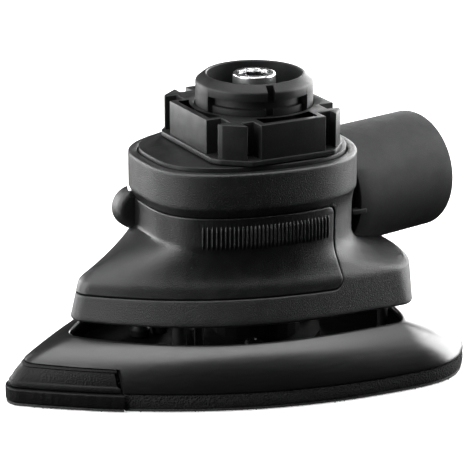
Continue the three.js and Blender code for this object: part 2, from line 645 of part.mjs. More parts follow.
function couplingPlate() {
  const sheet = skin([
    ringAt(POCKET_FLOOR + 0.2, BLOCK, COUPLING_INSET), ringAt(COUPLING_TOP - 0.5, BLOCK, COUPLING_INSET),
    ringAt(COUPLING_TOP, BLOCK, COUPLING_INSET + 0.5),
  ]);
  return carved(sheet, { removed: [rod(7.2, 60, 80, 24)] });
}

place('coupling_plate', couplingPlate(), COUPLING);
place('castle_ring', castleRing(), COUPLING);
place('bayonet_collar', bayonetCollar(), COUPLING);

// ---- dust outlet --------------------------------------------------------------------------------
const blockSolid = (grow) =>
  skin([ringAt(BLOCK_BOTTOM - 2, BLOCK, -grow), ringAt(BLOCK_TOP + 5, BLOCK, -grow)]);

function dustOutlet() {
  const spigot = outletFrame(tubeAround(SPIGOT_BORE_R, SPIGOT_R, 24, SPIGOT_END, 28));
  return carved(spigot, { removed: [housingSolid(-0.4, -0.4, 20, 63), blockSolid(0.4)] });
}

function dustAdaptor() {
  const tube = outletFrame(turned([
    [ADAPTOR_BORE_R, OUTLET.start], [ADAPTOR_R - 0.5, OUTLET.start], [ADAPTOR_R, OUTLET.start + 0.5],
    [ADAPTOR_R, OUTLET.end - 0.6], [ADAPTOR_R - 0.6, OUTLET.end], [ADAPTOR_BORE_R, OUTLET.end],
  ], 36));
  const catchTab = block([26, -17.8, 49.8], [31.5, -14.8, 51.4]);
  return carved(tube, { added: [catchTab], removed: [housingSolid(-0.5, -0.5, 20, 63), blockSolid(0.5)] });
}

place('dust_outlet', dustOutlet(), INNER);
place('dust_adaptor', dustAdaptor(), TUBE_GREY);

export default sander;
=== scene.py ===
"""Looks for the detail sander head: fine surfaces, materials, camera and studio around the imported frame."""

import json
import math

import bmesh
import bpy
import numpy as np
from mathutils import Matrix, Vector, noise


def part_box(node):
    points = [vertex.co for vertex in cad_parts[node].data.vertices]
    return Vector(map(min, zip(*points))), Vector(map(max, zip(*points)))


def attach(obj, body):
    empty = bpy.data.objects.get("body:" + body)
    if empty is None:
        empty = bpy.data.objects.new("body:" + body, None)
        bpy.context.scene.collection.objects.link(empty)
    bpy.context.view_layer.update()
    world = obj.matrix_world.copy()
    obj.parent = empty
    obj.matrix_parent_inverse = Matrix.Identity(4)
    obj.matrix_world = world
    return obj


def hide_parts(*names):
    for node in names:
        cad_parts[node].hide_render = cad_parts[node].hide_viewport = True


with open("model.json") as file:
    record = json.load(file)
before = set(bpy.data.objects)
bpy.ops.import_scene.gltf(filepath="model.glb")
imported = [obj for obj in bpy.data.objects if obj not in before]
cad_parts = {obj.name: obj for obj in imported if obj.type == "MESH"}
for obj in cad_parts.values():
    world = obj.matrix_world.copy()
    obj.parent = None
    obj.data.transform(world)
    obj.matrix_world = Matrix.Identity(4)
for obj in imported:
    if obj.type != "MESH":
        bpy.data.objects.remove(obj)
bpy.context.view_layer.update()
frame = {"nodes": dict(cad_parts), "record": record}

MM = 0.001
GAP = 0.3
FAR = 1e9
rng = np.random.default_rng(7)
noise.seed_set(7)


def box_mm(node):
    low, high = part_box(node)
    return low / MM, high / MM


# ---- sizes, in millimetres ----
def outline(nose, heel, half, wide, p, q, tip=5, blunt=1):
    """A mouse-shaped outline. nose and heel: reach along -X and +X; half: half width; wide: X of the
    widest place; p and q: fullness of the nose and heel curves; tip: nose radius; blunt: 1 for a pointed
    nose, less for a squarer one, which has no nose circle below a half."""
    return dict(nose=nose, heel=heel, half=half, wide=wide, p=p, q=q, tip=tip, blunt=blunt)


BASE = outline(88.6, 63.4, 49, 32, 2.2, 2.7)
OPENING = outline(66.5, 39.6, 38.6, 31, 3.1, 2.3)
RIM_FOOT = outline(66, 43.8, 36.8, 34, 3, 2.6)
CREASE = outline(63.5, 46.2, 34.2, 32, 2.6, 2.3)
NECK = outline(38.4, 29.1, 29.3, 2, 1.84, 2.5, 1, 0.333)
BLOCK = outline(39.8, 30.5, 30.7, 2, 1.84, 2.5, 1, 0.333)
CREASE_EDGE = {**CREASE, "nose": CREASE["nose"] + 0.3, "half": CREASE["half"] + 0.4}
SKIRT_BEND = {"nose": 1, "heel": 4, "q": 4, "blunt": 0.9, "other": 3}

HOOK_TOP = box_mm("hook_sheet")[1].z
FOAM_BOTTOM = box_mm("foam_pad")[0].z
FOAM_TOP = box_mm("foam_pad")[1].z
SHELL_FOOT = box_mm("pad_shell")[0].z
SHELL_SHOULDER = 6.5
DOME_CURVE, DOME_SHARE = 1.64, 0.7
SHELL_TOP = box_mm("pad_shell")[1].z
SHELL_WALL = 2.2
TIP_REAR_X = box_mm("foam_pad")[0].x
TIP_TOP = box_mm("tip_holder")[1].z
TIP_PROUD = 1.2
TIP_SCREW = (box_mm("tip_screw")[0] + box_mm("tip_screw")[1]) / 2

RIM_BOTTOM = box_mm("main_housing")[0].z
BLOCK_TOP = box_mm("main_housing")[1].z
BLOCK_BOTTOM = BLOCK_TOP - 14
POCKET_FLOOR = BLOCK_TOP - 2
CREASE_Z = 36.5
NECK_Z = 48.3
COVER_BOTTOM = box_mm("front_cover")[0].z
COVER_TOP = 57.8
COVER_REAR_X = box_mm("front_cover")[1].x
COVER_CORNER = 3.5
COVER_TOP_CORNER = 2.4
COVER_WALL = 1.4
HOUSING_WALL = 3.6
LUG = {"x": -36.7, "y": 12.4, "z": 53.5, "r": 6.75, "half": 3.6}

COUPLING_INSET = 3.2
COUPLING_TOP = box_mm("coupling_plate")[1].z
RING_FOOT = box_mm("castle_ring")[0].z
RING_TOP = box_mm("castle_ring")[1].z
RING_FLANGE = 0.8
RING_FLANGE_TOP = RING_FOOT + 1.7
RING = {"front": -23.4, "rear": 21.4, "side": 26.2, "slant_x": 14.4, "corner_x": 1.6,
        "corner_y": 20.2, "side_y": 17.4}
RING_WALL = 1.9
SLOT = {"x": 13.4, "wide_x": 4.2, "y": 15.6, "wide_y": 5.4, "depth": 5.2}
COLLAR_TOP = box_mm("bayonet_collar")[1].z
COLLAR_R = 18.6
COLLAR_CORE_R = 17.1
COLLAR_BORE_R = 15
COLLAR_GROOVE = (88, 91.2, 16.2)
COLLAR_LUGS, COLLAR_LUG_HALF, COLLAR_NOTCHES = (158, 338), 34, (259, 79)
SOCKET_R = 6.8
SOCKET_BORE_R = 4.1
SOCKET_FOOT = box_mm("drive_socket")[0].z
SPLINES, SPLINE_DEPTH, SPLINE_SEGMENTS = 8, 0.45, 192
OUTLET = {"y": -4, "z": 53.15, "turn": 12, "start": 26, "end": 67.1}
ADAPTOR_R = 19.35
ADAPTOR_BORE_R = 16.3
SPIGOT_R = 15.8
SPIGOT_BORE_R = 13.4
SPIGOT_END = 46


# ---- outlines ----
def mixed(a, b, t):
    return a + (b - a) * t


def eased(t):
    """t kept between 0 and 1, with a gentle start and end."""
    t = np.clip(t, 0, 1)
    return t * t * (3 - 2 * t)


def blended(a, b, t, bends=None):
    """A mouse outline between outlines a and b; bends gives a key its own curve."""
    bends = bends or {}
    return {k: mixed(a[k], b[k], 1 - (1 - t) ** bends.get(k, bends.get("other", 1))) for k in a}


def side_of(shape, inset=0.0, count=500):
    """Half an outline, nose to heel, as an array of [x, half width] with a pointed nose rounded."""
    nose, heel, half = shape["nose"] - inset, shape["heel"] - inset, shape["half"] - inset
    wide, p, q, blunt = shape["wide"], shape["p"], shape["q"], shape["blunt"]
    radius = max(shape["tip"] - inset, 1)
    turn = np.linspace(0, math.pi / 2, count)
    front = np.stack([wide - (wide + nose) * np.sin(turn) ** (2 / p),
                      half * np.maximum(np.cos(turn), 0) ** (2 * blunt)], 1)
    back = np.stack([wide + (heel - wide) * np.sin(turn[1:]) ** (2 / q),
                     half * np.maximum(np.cos(turn[1:]), 0) ** (2 / q)], 1)
    fore = front[::-1]
    if blunt > 0.5:
        low, high = -nose, wide
        for _ in range(30):
            middle = (low + high) / 2
            near = np.hypot(front[:, 0] - middle, front[:, 1]).min()
            low, high = (middle, high) if near < radius else (low, middle)
        touch = int(np.argmin(np.hypot(front[:, 0] - high, front[:, 1])))
        end = math.atan2(front[touch, 1], front[touch, 0] - high)
        arc = np.linspace(math.pi, end, 24)[:-1]
        nose_arc = np.stack([high + radius * np.cos(arc), radius * np.sin(arc)], 1)
        fore = np.concatenate([nose_arc, front[touch::-1]])
    side = np.concatenate([fore, back])
    side[0, 1] = side[-1, 1] = 0
    return side


def at_shares(line, shares):
    """Points at shares of a polyline's length."""
    steps = np.hypot(*np.diff(line, axis=0).T)
    along = np.concatenate([[0], np.cumsum(steps)])
    along /= along[-1]
    return np.stack([np.interp(shares, along, line[:, k]) for k in range(line.shape[1])], 1)


def spaced(line, count):
    """count points at equal steps along a polyline, its ends included."""
    return at_shares(line, np.linspace(0, 1, count))


def cut_at(side, low_x=-FAR, high_x=FAR):
    """The stretch of a half outline whose x lies between two values, ends included."""
    x = side[:, 0]
    ends = [np.array([[v, np.interp(v, x, side[:, 1])]]) if x[0] < v < x[-1] else side[k:k + 1]
            for v, k in ((low_x, 0), (high_x, len(side) - 1))]
    inner = side[(x > ends[0][0, 0] + 1e-6) & (x < ends[1][0, 0] - 1e-6)]
    return np.concatenate([ends[0], inner, ends[1]])


def normals_of(line):
    """Outward unit normals of a half outline that runs nose to heel with y at least 0."""
    step = np.gradient(line, axis=0)
    step /= np.maximum(np.hypot(*step.T), 1e-9)[:, None]
    return np.stack([-step[:, 1], step[:, 0]], 1)


def level(points, z):
    """[x, y] points as points at height z."""
    return np.column_stack([points, np.full(len(points), z)])


def both_sides(half, z):
    """A closed loop of points at height z from a half outline, the y < 0 side first."""
    return level(np.concatenate([half * [1, -1], half[1:-1][::-1]]), z)


def ring_at(z, shape, inset=0.0, count=150):
    return both_sides(spaced(side_of(shape, inset), count), z)


def circle_at(z, r, count=150):
    """A circle with the same number of points as ring_at, starting at the nose side."""
    turn = np.linspace(math.pi, 2 * math.pi, count)
    return both_sides(np.stack([r * np.cos(turn), -r * np.sin(turn)], 1), z)


# ---- mesh helpers ----
def linked(name, data):
    made = bpy.data.objects.new(name, data)
    bpy.context.scene.collection.objects.link(made)
    return made


def moved(x, y, z):
    """The matrix of a move in millimetres."""
    return Matrix.Translation(Vector((x, y, z)) * MM)


def turned_by(degrees, axis):
    return Matrix.Rotation(math.radians(degrees), 4, axis)


def clean(mesh, apart, thin=0.0):
    """Merges points less than apart metres apart, drops faces thinner than thin, and faces all outward."""
    bm = bmesh.new()
    bm.from_mesh(mesh)
    bmesh.ops.remove_doubles(bm, verts=bm.verts, dist=apart)
    if thin:
        bmesh.ops.dissolve_degenerate(bm, edges=bm.edges, dist=thin)
    bmesh.ops.recalc_face_normals(bm, faces=bm.faces)
    bm.to_mesh(mesh)
    bm.free()


def new_object(name, verts, faces, sharp=35, merge=True):
    """A mesh object from points in millimetres, smooth except along edges sharper than sharp degrees."""
    mesh = bpy.data.meshes.new(name)
    mesh.from_pydata([tuple(v) for v in np.asarray(verts, float) * MM], [], [tuple(f) for f in faces])
    if merge:
        clean(mesh, 2e-7, 1e-8)
    smooth(mesh, sharp)
    return linked(name, mesh)


def smooth(mesh, sharp):
    mesh.polygons.foreach_set("use_smooth", [True] * len(mesh.polygons))
    mesh.set_sharp_from_angle(angle=math.radians(sharp))
    mesh.update()


def grid_faces(rows, columns, closed=False):
    """Quads between loops of points: closed joins the last loop to the first."""
    faces = []
    for r in range(rows if closed else rows - 1):
        a, b = r * columns, ((r + 1) % rows) * columns
        for c in range(columns):
            d = (c + 1) % columns
            faces.append((a + c, a + d, b + d, b + c))
    return faces


def loft(name, rows, closed=False, sharp=35):
    """A closed piece from loops of points: the ends are capped, or joined to each other if closed."""
    rows = [np.asarray(r) for r in rows]
    columns = len(rows[0])
    verts = np.concatenate(rows)
    faces = grid_faces(len(rows), columns, closed=closed)
    if not closed:
        last = (len(rows) - 1) * columns
        faces.append(tuple(range(columns))[::-1])
        faces.append(tuple(range(last, last + columns)))
    return new_object(name, verts, faces, sharp)


def wheel_row(r, z, turn):
    """Points at height z at angles turn; r is one radius, or one for each angle."""
    return level(np.stack([r * np.cos(turn), r * np.sin(turn)], 1), z)


def turned(name, profile, segments=96, sharp=35):
    """A turned piece from [radius, z] points; one off the axis is closed into a ring."""
    on_axis = profile[0][0] == 0
    turn = np.linspace(0, 2 * math.pi, segments, endpoint=False)
    rows = [wheel_row(r, z, turn) for r, z in profile]
    faces = grid_faces(len(rows), segments, closed=not on_axis)
    return new_object(name, np.concatenate(rows), faces, sharp)


def drop(degrees):
    """How far a point sinks as a unit arm turns down from its top."""
    return 1 - math.cos(math.radians(degrees))


def arc_points(centre, r, start, end, steps=5):
    """Points of an arc in a profile, from start to end degrees."""
    turn = np.radians(np.linspace(start, end, steps + 1))
    return [(centre[0] + r * math.cos(t), centre[1] + r * math.sin(t)) for t in turn]


def rounded_rows(low, high, r, inset=0.0, steps=4):
    """(z, inset) pairs up a wall whose two edges are rounded."""
    turn = np.radians(np.linspace(0, 90, steps + 1))
    foot = [(low + r * (1 - math.sin(t)), inset + r * (1 - math.cos(t))) for t in turn[::-1]]
    head = [(high - r * (1 - math.sin(t)), inset + r * (1 - math.cos(t))) for t in turn]
    return foot + head


def settled_mesh(piece):
    """A new mesh of a piece with its modifiers or curve settings applied."""
    bpy.context.view_layer.update()
    return bpy.data.meshes.new_from_object(piece.evaluated_get(bpy.context.evaluated_depsgraph_get()))


def plate(name, loops, low, high, edge=0.25, sharp=30):
    """A flat plate with rounded edges from an outline and holes, pulled from low to high."""
    curve = bpy.data.curves.new(name, "CURVE")
    curve.dimensions = "2D"
    curve.fill_mode = "BOTH"
    curve.extrude = (high - low) / 2 * MM - edge * MM
    curve.bevel_depth = edge * MM
    curve.bevel_resolution = 2
    curve.offset = -edge * MM
    for loop in loops:
        spline = curve.splines.new("POLY")
        spline.points.add(len(loop) - 1)
        for point, (x, y) in zip(spline.points, loop):
            point.co = (x * MM, y * MM, 0, 1)
        spline.use_cyclic_u = True
    source = linked(name + "_curve", curve)
    source.location.z = (low + high) / 2 * MM
    mesh = settled_mesh(source)
    mesh.transform(source.matrix_world)
    bpy.data.objects.remove(source)
    clean(mesh, 1e-6)
    mesh.name = name
    smooth(mesh, sharp)
    return linked(name, mesh)


def joined(target, *others):
    """The other objects' meshes added to target's, at their places; the others are removed."""
    bm = bmesh.new()
    bm.from_mesh(target.data)
    for other in others:
        bm.from_mesh(other.data)
        bpy.data.objects.remove(other)
    bm.to_mesh(target.data)
    bm.free()
    return target


def carved(target, *cutters, sharp=35):
    """target after exact booleans with the cutters, which are removed."""
    for cutter in cutters:
        modifier = target.modifiers.new("cut", "BOOLEAN")
        modifier.operation = "DIFFERENCE"
        modifier.solver = "EXACT"
        modifier.object = cutter
        mesh = settled_mesh(target)
        target.modifiers.clear()
        target.data = mesh
        bpy.data.objects.remove(cutter)
    smooth(target.data, sharp)
    return target


def block_piece(name, low, high, edge=0.4):
    """A box with rounded edges."""
    mesh = bpy.data.meshes.new(name)
    bm = bmesh.new()
    bmesh.ops.create_cube(bm, size=1)
    low, high = Vector(low), Vector(high)
    for v in bm.verts:
        v.co = Vector(a + (b - a) * (c + 0.5) for a, b, c in zip(low, high, v.co)) * MM
    if edge:
        bmesh.ops.bevel(bm, geom=bm.edges[:], offset=edge * MM, segments=3, profile=0.5, affect="EDGES")
    bm.to_mesh(mesh)
    bm.free()
    smooth(mesh, 30)
    return linked(name, mesh)


def placed(piece, matrix):
    piece.data.transform(matrix)
    piece.data.update()
    return piece


def outlet_frame(piece):
    """Turns a piece made along +Z about the origin on to the dust outlet's axis."""
    turn = turned_by(OUTLET["turn"], "Z") @ turned_by(90, "Y")
    return placed(piece, moved(0, OUTLET["y"], OUTLET["z"]) @ turn)


def dressed(piece, body, material, slot, *nodes):
    """Gives a finished piece its material and its body, and hides the CAD nodes it stands for."""
    piece.data.materials.clear()
    piece.data.materials.append(material)
    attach(piece, body)
    if nodes:
        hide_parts(*nodes)
    return piece


# ---- materials ----
def new_material(name, color, roughness, metallic=0.0, specular=0.5, **sockets):
    """A Principled material; every number that is the same all over is set on the shader itself."""
    made = bpy.data.materials.new(name)
    made.use_nodes = True
    shader = made.node_tree.nodes["Principled BSDF"]
    sockets.update(Base_Color=(*color, 1), Roughness=roughness, Metallic=metallic,
                   Specular_IOR_Level=specular)
    for socket, value in sockets.items():
        shader.inputs[socket.replace("_", " ")].default_value = value
    return made


def tree_of(made):
    return made.node_tree.nodes, made.node_tree.links


def texture(made, kind, scale, stretch=None, **settings):
    """A procedural texture in object space; scale counts features per metre."""
    nodes, links = tree_of(made)
    found = nodes.new("ShaderNodeTex" + kind)
    found.inputs["Scale"].default_value = scale
    for key, value in settings.items():
        if hasattr(found, key):
            setattr(found, key, value)
        else:
            found.inputs[key.replace("_", " ").title()].default_value = value
    place = nodes.new("ShaderNodeTexCoord")
    source = place.outputs["Object"]
    if stretch:
        mapping = nodes.new("ShaderNodeMapping")
        mapping.inputs["Scale"].default_value = stretch
        links.new(source, mapping.inputs["Vector"])
        source = mapping.outputs["Vector"]
    links.new(source, found.inputs["Vector"])
    return found.outputs["Distance"] if kind == "Voronoi" else found.outputs[0]


def spread(made, source, low, high, start=0.35, end=0.65):
    """source mapped from start..end to low..high, numbers or colours."""
    nodes, links = tree_of(made)
    if np.ndim(low) == 0:
        found = nodes.new("ShaderNodeMapRange")
        for socket, value in zip(("From Min", "From Max", "To Min", "To Max"), (start, end, low, high)):
            found.inputs[socket].default_value = value
        links.new(source, found.inputs["Value"])
        return found.outputs["Result"]
    found = nodes.new("ShaderNodeValToRGB")
    first, last = found.color_ramp.elements
    first.position, last.position = start, end
    first.color, last.color = (*low, 1), (*high, 1)
    links.new(source, found.inputs["Fac"])
    return found.outputs["Color"]


def feed(made, source, socket):
    shader = made.node_tree.nodes["Principled BSDF"]
    made.node_tree.links.new(source, shader.inputs[socket])


def bumped(made, *layers):
    """Bump layers of (source, strength, distance in millimetres), coarse ones first."""
    nodes, links = tree_of(made)
    normal = None
    for source, strength, distance in layers:
        bump = nodes.new("ShaderNodeBump")
        bump.inputs["Strength"].default_value = strength
        bump.inputs["Distance"].default_value = distance * MM
        links.new(source, bump.inputs["Height"])
        if normal:
            links.new(normal, bump.inputs["Normal"])
        normal = bump.outputs["Normal"]
    feed(made, normal, "Normal")


def grained(name, color, roughness, grain, strength, specular, shift=0.3, coarse=260):
    """Moulded plastic: grain is the size of its texture in millimetres, strength how deep it is."""
    made = new_material(name, color, roughness, specular=specular)
    fine = texture(made, "Noise", 1 / (grain * MM), detail=3.0, roughness=0.62)
    pits = texture(made, "Voronoi", 0.8 / (grain * MM), randomness=1.0)
    cloud = texture(made, "Noise", coarse, detail=4.0, roughness=0.55)
    color = np.array(color)
    feed(made, spread(made, fine, color * (1 - shift), color * (1 + shift)), "Base Color")
    feed(made, spread(made, cloud, roughness - 0.05, roughness + 0.05), "Roughness")
    bumped(made, (cloud, 0.05, 0.2), (pits, 0.5 * strength, 0.12), (fine, strength, 0.17))
    return made


def foam_material(name, color, cell):
    made = new_material(name, color, 0.95, specular=0.2)
    cells = texture(made, "Voronoi", 1 / (cell * MM), randomness=1.0)
    fine = texture(made, "Noise", 2.4 / (cell * MM), detail=4.0)
    color = np.array(color)
    feed(made, spread(made, cells, color * 0.25, color * 1.9, 0.1, 0.6), "Base Color")
    bumped(made, (cells, 1.0, 0.35), (fine, 0.5, 0.1))
    return made


def pile_material(name, color):
    """Hook pile: dark, with pale ends of filament catching the light."""
    made = new_material(name, color, 0.7, specular=0.5)
    tufts = texture(made, "Voronoi", 2600, randomness=1.0)
    strands = texture(made, "Noise", 4200, detail=3.0)
    feed(made, spread(made, strands, np.array(color) * 0.3, np.array(color) * 3.2, 0.38, 0.68), "Base Color")
    bumped(made, (tufts, 0.8, 0.25), (strands, 0.8, 0.12))
    return made


def turned_metal(name, color, roughness, rings, strength):
    """Metal with the fine circular marks of turning about the spindle axis."""
    made = new_material(name, color, roughness, metallic=1.0)
    marks = texture(made, "Wave", rings, wave_type="RINGS", rings_direction="Z", distortion=1.4, detail=3.0)
    fine = texture(made, "Noise", 5000, detail=3.0)
    feed(made, spread(made, marks, roughness - 0.06, roughness + 0.08, 0.0, 1.0), "Roughness")
    feed(made, spread(made, fine, np.array(color) * 0.86, np.array(color)), "Base Color")
    bumped(made, (marks, strength, 0.02), (fine, 0.06, 0.02))
    return made


def polished_shell():
    """Polished black plastic with a little moulding waviness and hairline rubs."""
    made = new_material("polished_black", (0.004, 0.004, 0.0042), 0.3, specular=0.75)
    rubs = texture(made, "Noise", 180, stretch=(1, 1, 7), detail=6.0, roughness=0.6)
    wavy = texture(made, "Noise", 90, detail=2.0)
    dust = texture(made, "Noise", 3600, detail=3.0)
    feed(made, spread(made, rubs, 0.28, 0.34), "Roughness")
    feed(made, spread(made, dust, (0.003, 0.003, 0.0032), (0.006, 0.006, 0.0063)), "Base Color")
    bumped(made, (wavy, 0.03, 0.5), (dust, 0.025, 0.03))
    return made


GRAINY = grained("grained_housing", (0.0065, 0.0067, 0.0071), 0.4, 0.3, 0.9, 0.55)
COVER = grained("satin_cover", (0.005, 0.0052, 0.0055), 0.35, 0.28, 0.55, 0.5)
COUPLING = grained("coupling_plastic", (0.0068, 0.007, 0.0074), 0.45, 0.3, 0.25, 0.26)
TUBE = grained("tube_grey", (0.02, 0.0203, 0.0209), 0.66, 0.34, 0.25, 0.16, shift=0.12)
TIP = grained("tip_black", (0.003, 0.003, 0.0032), 0.45, 0.5, 0.9, 0.16)
INNER = grained("inner_black", (0.004, 0.004, 0.0042), 0.7, 0.6, 0.2, 0.15)
RUBBER = grained("post_rubber", (0.012, 0.012, 0.0125), 0.5, 0.4, 0.25, 0.35)
SHELL = polished_shell()
FOAM = foam_material("open_cell_foam", (0.009, 0.009, 0.0095), 0.55)
PILE = pile_material("hook_pile", (0.022, 0.022, 0.023))
STEEL = turned_metal("bright_steel", (0.78, 0.785, 0.79), 0.22, 900, 0.1)
# painted shade: a dark metal for the sleeve that darkens the socket's bore, where shade falls
BORE_SHADE = turned_metal("bore_painted_shade", (0.05, 0.05, 0.052), 0.5, 700, 0.1)
ZINC = turned_metal("zinc_plate", (0.09, 0.0915, 0.093), 0.42, 500, 0.12)
ALLOY = turned_metal("cast_alloy", (0.2, 0.203, 0.206), 0.55, 140, 0.05)


# ---- pad ----
def rounding(t):
    return (1 - (1 - t) ** DOME_CURVE) ** (1 / DOME_CURVE)


def dome_z(share):
    """Height of the shell's outside at a share of its way in from the shoulder to the opening."""
    return mixed(SHELL_SHOULDER, SHELL_TOP, rounding(share * DOME_SHARE) / rounding(DOME_SHARE))


def dome_shape(z):
    """The dome's outline at a height."""
    shares = np.linspace(0, 1, 400) ** 2
    return blended(BASE, OPENING, float(np.interp(z, [dome_z(u) for u in shares], shares)))


def pad_shell(steps=30, lip=0.7):
    """The domed shell: its foot, the outside up to the opening's rounded lip, and the inside back down."""
    rows = [ring_at(SHELL_FOOT + up, BASE, inset) for up, inset in ((0, 0.35), (0.1, 0.12), (0.3, 0))]
    for k in range(steps + 1):
        share = (k / steps) ** 2
        rows.append(ring_at(dome_z(share), blended(BASE, OPENING, share)))
    for k in range(1, 6):
        rows.append(ring_at(SHELL_TOP - lip * drop(18 * k), OPENING, lip * math.sin(math.radians(18 * k))))
    for share in (0.98, 0.8, 0.6, 0.4, 0.25, 0.12):
        rows.append(ring_at(dome_z(share) - 1.9 * share - 0.2, blended(BASE, OPENING, share),
                            mixed(SHELL_WALL, 0.5, share ** 2)))
    rows.append(ring_at(SHELL_FOOT, BASE, SHELL_WALL))
    shell = loft("shell", rows, closed=True, sharp=40)
    room = block_piece("tip_room", (-100, -60, 0), (TIP_REAR_X, 60, TIP_TOP + GAP), edge=0)
    return carved(shell, room, sharp=40)


def cut_loop(shape, inset, low_x=-FAR, high_x=FAR, count=160, side_steps=30):
    """A closed loop of an outline cut square across at low_x and high_x."""
    half = spaced(cut_at(side_of(shape, inset), low_x, high_x), count)
    left, right = half * [1, -1], half[::-1]
    loop = [left]
    if half[-1, 1] > 0.1:
        loop.append(spaced(np.array([left[-1], right[0]]), side_steps)[1:-1])
    loop.append(right)
    if half[0, 1] > 0.1:
        loop.append(spaced(np.array([right[-1], left[0]]), side_steps)[1:-1])
    return np.concatenate(loop)


def layer_rows(profile, shape, front):
    """Rows of a pad layer from (z, inset) pairs: the part behind the tip's joint, or in front of it."""
    rows = []
    for z, inset in profile:
        square = max(inset, 0)
        outline = shape(z) if callable(shape) else shape
        if front:
            loop = cut_loop(outline, inset, high_x=TIP_REAR_X - GAP - square)
        else:
            loop = cut_loop(outline, inset, low_x=TIP_REAR_X + square)
        rows.append(level(loop, z))
    return rows


def roughened(piece, amount, size, seed):
    """Moves each point a little sideways by noise of that size, so that edges look open-celled."""
    for v in piece.data.vertices:
        push = noise.noise_vector(v.co / (size * MM) + Vector((seed, 0, 0))) * amount * MM
        push.z = 0
        v.co += push
    piece.data.update()
    return piece


def foam_pad():
    profile = [(z, inset - 0.25 * math.sin(math.pi * (z - FOAM_BOTTOM) / (FOAM_TOP - FOAM_BOTTOM)) + 0.25)
               for z, inset in rounded_rows(FOAM_BOTTOM, FOAM_TOP, 0.4)]
    middle = [(mixed(FOAM_BOTTOM + 0.4, FOAM_TOP - 0.4, t), 0.25 - 0.25 * math.sin(math.pi * t))
              for t in (0.15, 0.3, 0.45, 0.6, 0.75, 0.9)]
    rows = layer_rows(sorted(profile + middle, key=lambda pair: pair[0]), BASE, False)
    return roughened(loft("foam_sole", rows, sharp=50), 0.12, 0.7, 3)


PEG_FACES = [(0, 1, 5, 4), (1, 2, 6, 5), (2, 3, 7, 6), (3, 0, 4, 7), (4, 5, 8), (5, 6, 8), (6, 7, 8),
             (7, 4, 8), (3, 2, 1, 0)]
SPIKE_FACES = [(0, 1, 3), (1, 2, 3), (2, 0, 3), (2, 1, 0)]


def sole_hooks(loops, name, spacing=1.9, height=0.42):
    """Tiny hooks under the sheet: short bent pegs on a jittered grid inside the outline."""
    low, high = loops.min(0), loops.max(0)
    verts, faces = [], []
    for x in np.arange(low[0], high[0], spacing):
        for y in np.arange(low[1], high[1], spacing):
            px, py = np.array([x, y]) + rng.uniform(-0.35, 0.35, 2)
            if not inside(loops, px, py):
                continue
            lean = rng.uniform(-0.25, 0.25, 2)
            base = len(verts)
            for level, r in ((height + 0.05, 0.24), (0.12, 0.15)):
                for k in range(4):
                    t = math.pi / 2 * k
                    shift = lean * (1 - level / height)
                    verts.append((px + r * math.cos(t) + shift[0], py + r * math.sin(t) + shift[1], level))
            verts.append((px + lean[0] * 1.3, py + lean[1] * 1.3, 0.0))
            faces += [tuple(base + k for k in face) for face in PEG_FACES]
    return new_object(name, verts, faces, sharp=60, merge=False)


def inside(loop, x, y):
    """Whether a point lies in a closed loop, by counting crossings."""
    a, b = loop, np.roll(loop, -1, 0)
    crosses = (a[:, 1] > y) != (b[:, 1] > y)
    with np.errstate(divide="ignore", invalid="ignore"):
        at = (b[:, 0] - a[:, 0]) * (y - a[:, 1]) / (b[:, 1] - a[:, 1]) + a[:, 0]
    return bool(np.sum(crosses & (x < at)) % 2)


def edge_fuzz(loop, name, low, high, spacing=0.3, reach=0.55):
    """Loose filaments standing out of the sheet's edge: thin three-sided spikes."""
    steps = np.hypot(*np.diff(loop, axis=0, append=loop[:1]).T)
    count = int(steps.sum() / spacing)
    closed = np.concatenate([loop, loop[:1]])
    points = at_shares(closed, np.linspace(0, 1, count, endpoint=False) + rng.uniform(0, 0.5 / count, count))
    ahead = np.roll(points, -1, 0) - points
    ahead /= np.maximum(np.hypot(*ahead.T), 1e-9)[:, None]
    verts, faces = [], []
    for (x, y), (ax, ay) in zip(points, ahead):
        out = np.array([ay, -ax, 0])
        along = np.array([ax, ay, 0])
        root = np.array([x, y, rng.uniform(low, high)]) - 0.2 * out
        end = root + out * rng.uniform(0.35, reach) + along * rng.uniform(-0.3, 0.3)
        end[2] = np.clip(root[2] + rng.uniform(-0.5, 0.25), 0.02, high + 0.25)
        base = len(verts)
        for k in range(3):
            t = 2 * math.pi * k / 3
            verts.append(tuple(root + 0.07 * (math.cos(t) * along + math.sin(t) * np.array([0, 0, 1]))))
        verts.append(tuple(end))
        faces += [tuple(base + k for k in face) for face in SPIKE_FACES]
    return new_object(name, verts, faces, sharp=60, merge=False)


def hook_layer(name, inset, front):
    rows = layer_rows([(0.42, inset + 0.15), (0.6, inset), (HOOK_TOP - 0.1, inset), (HOOK_TOP, inset + 0.1)],
                      BASE, front)
    sheet = roughened(loft(name, rows, sharp=50), 0.16, 0.9, 11 if front else 5)
    loop = rows[1][:, :2]
    return joined(sheet, sole_hooks(rows[0][:, :2], name + "_hooks"),
                  edge_fuzz(loop, name + "_fuzz", 0.25, HOOK_TOP - 0.1))


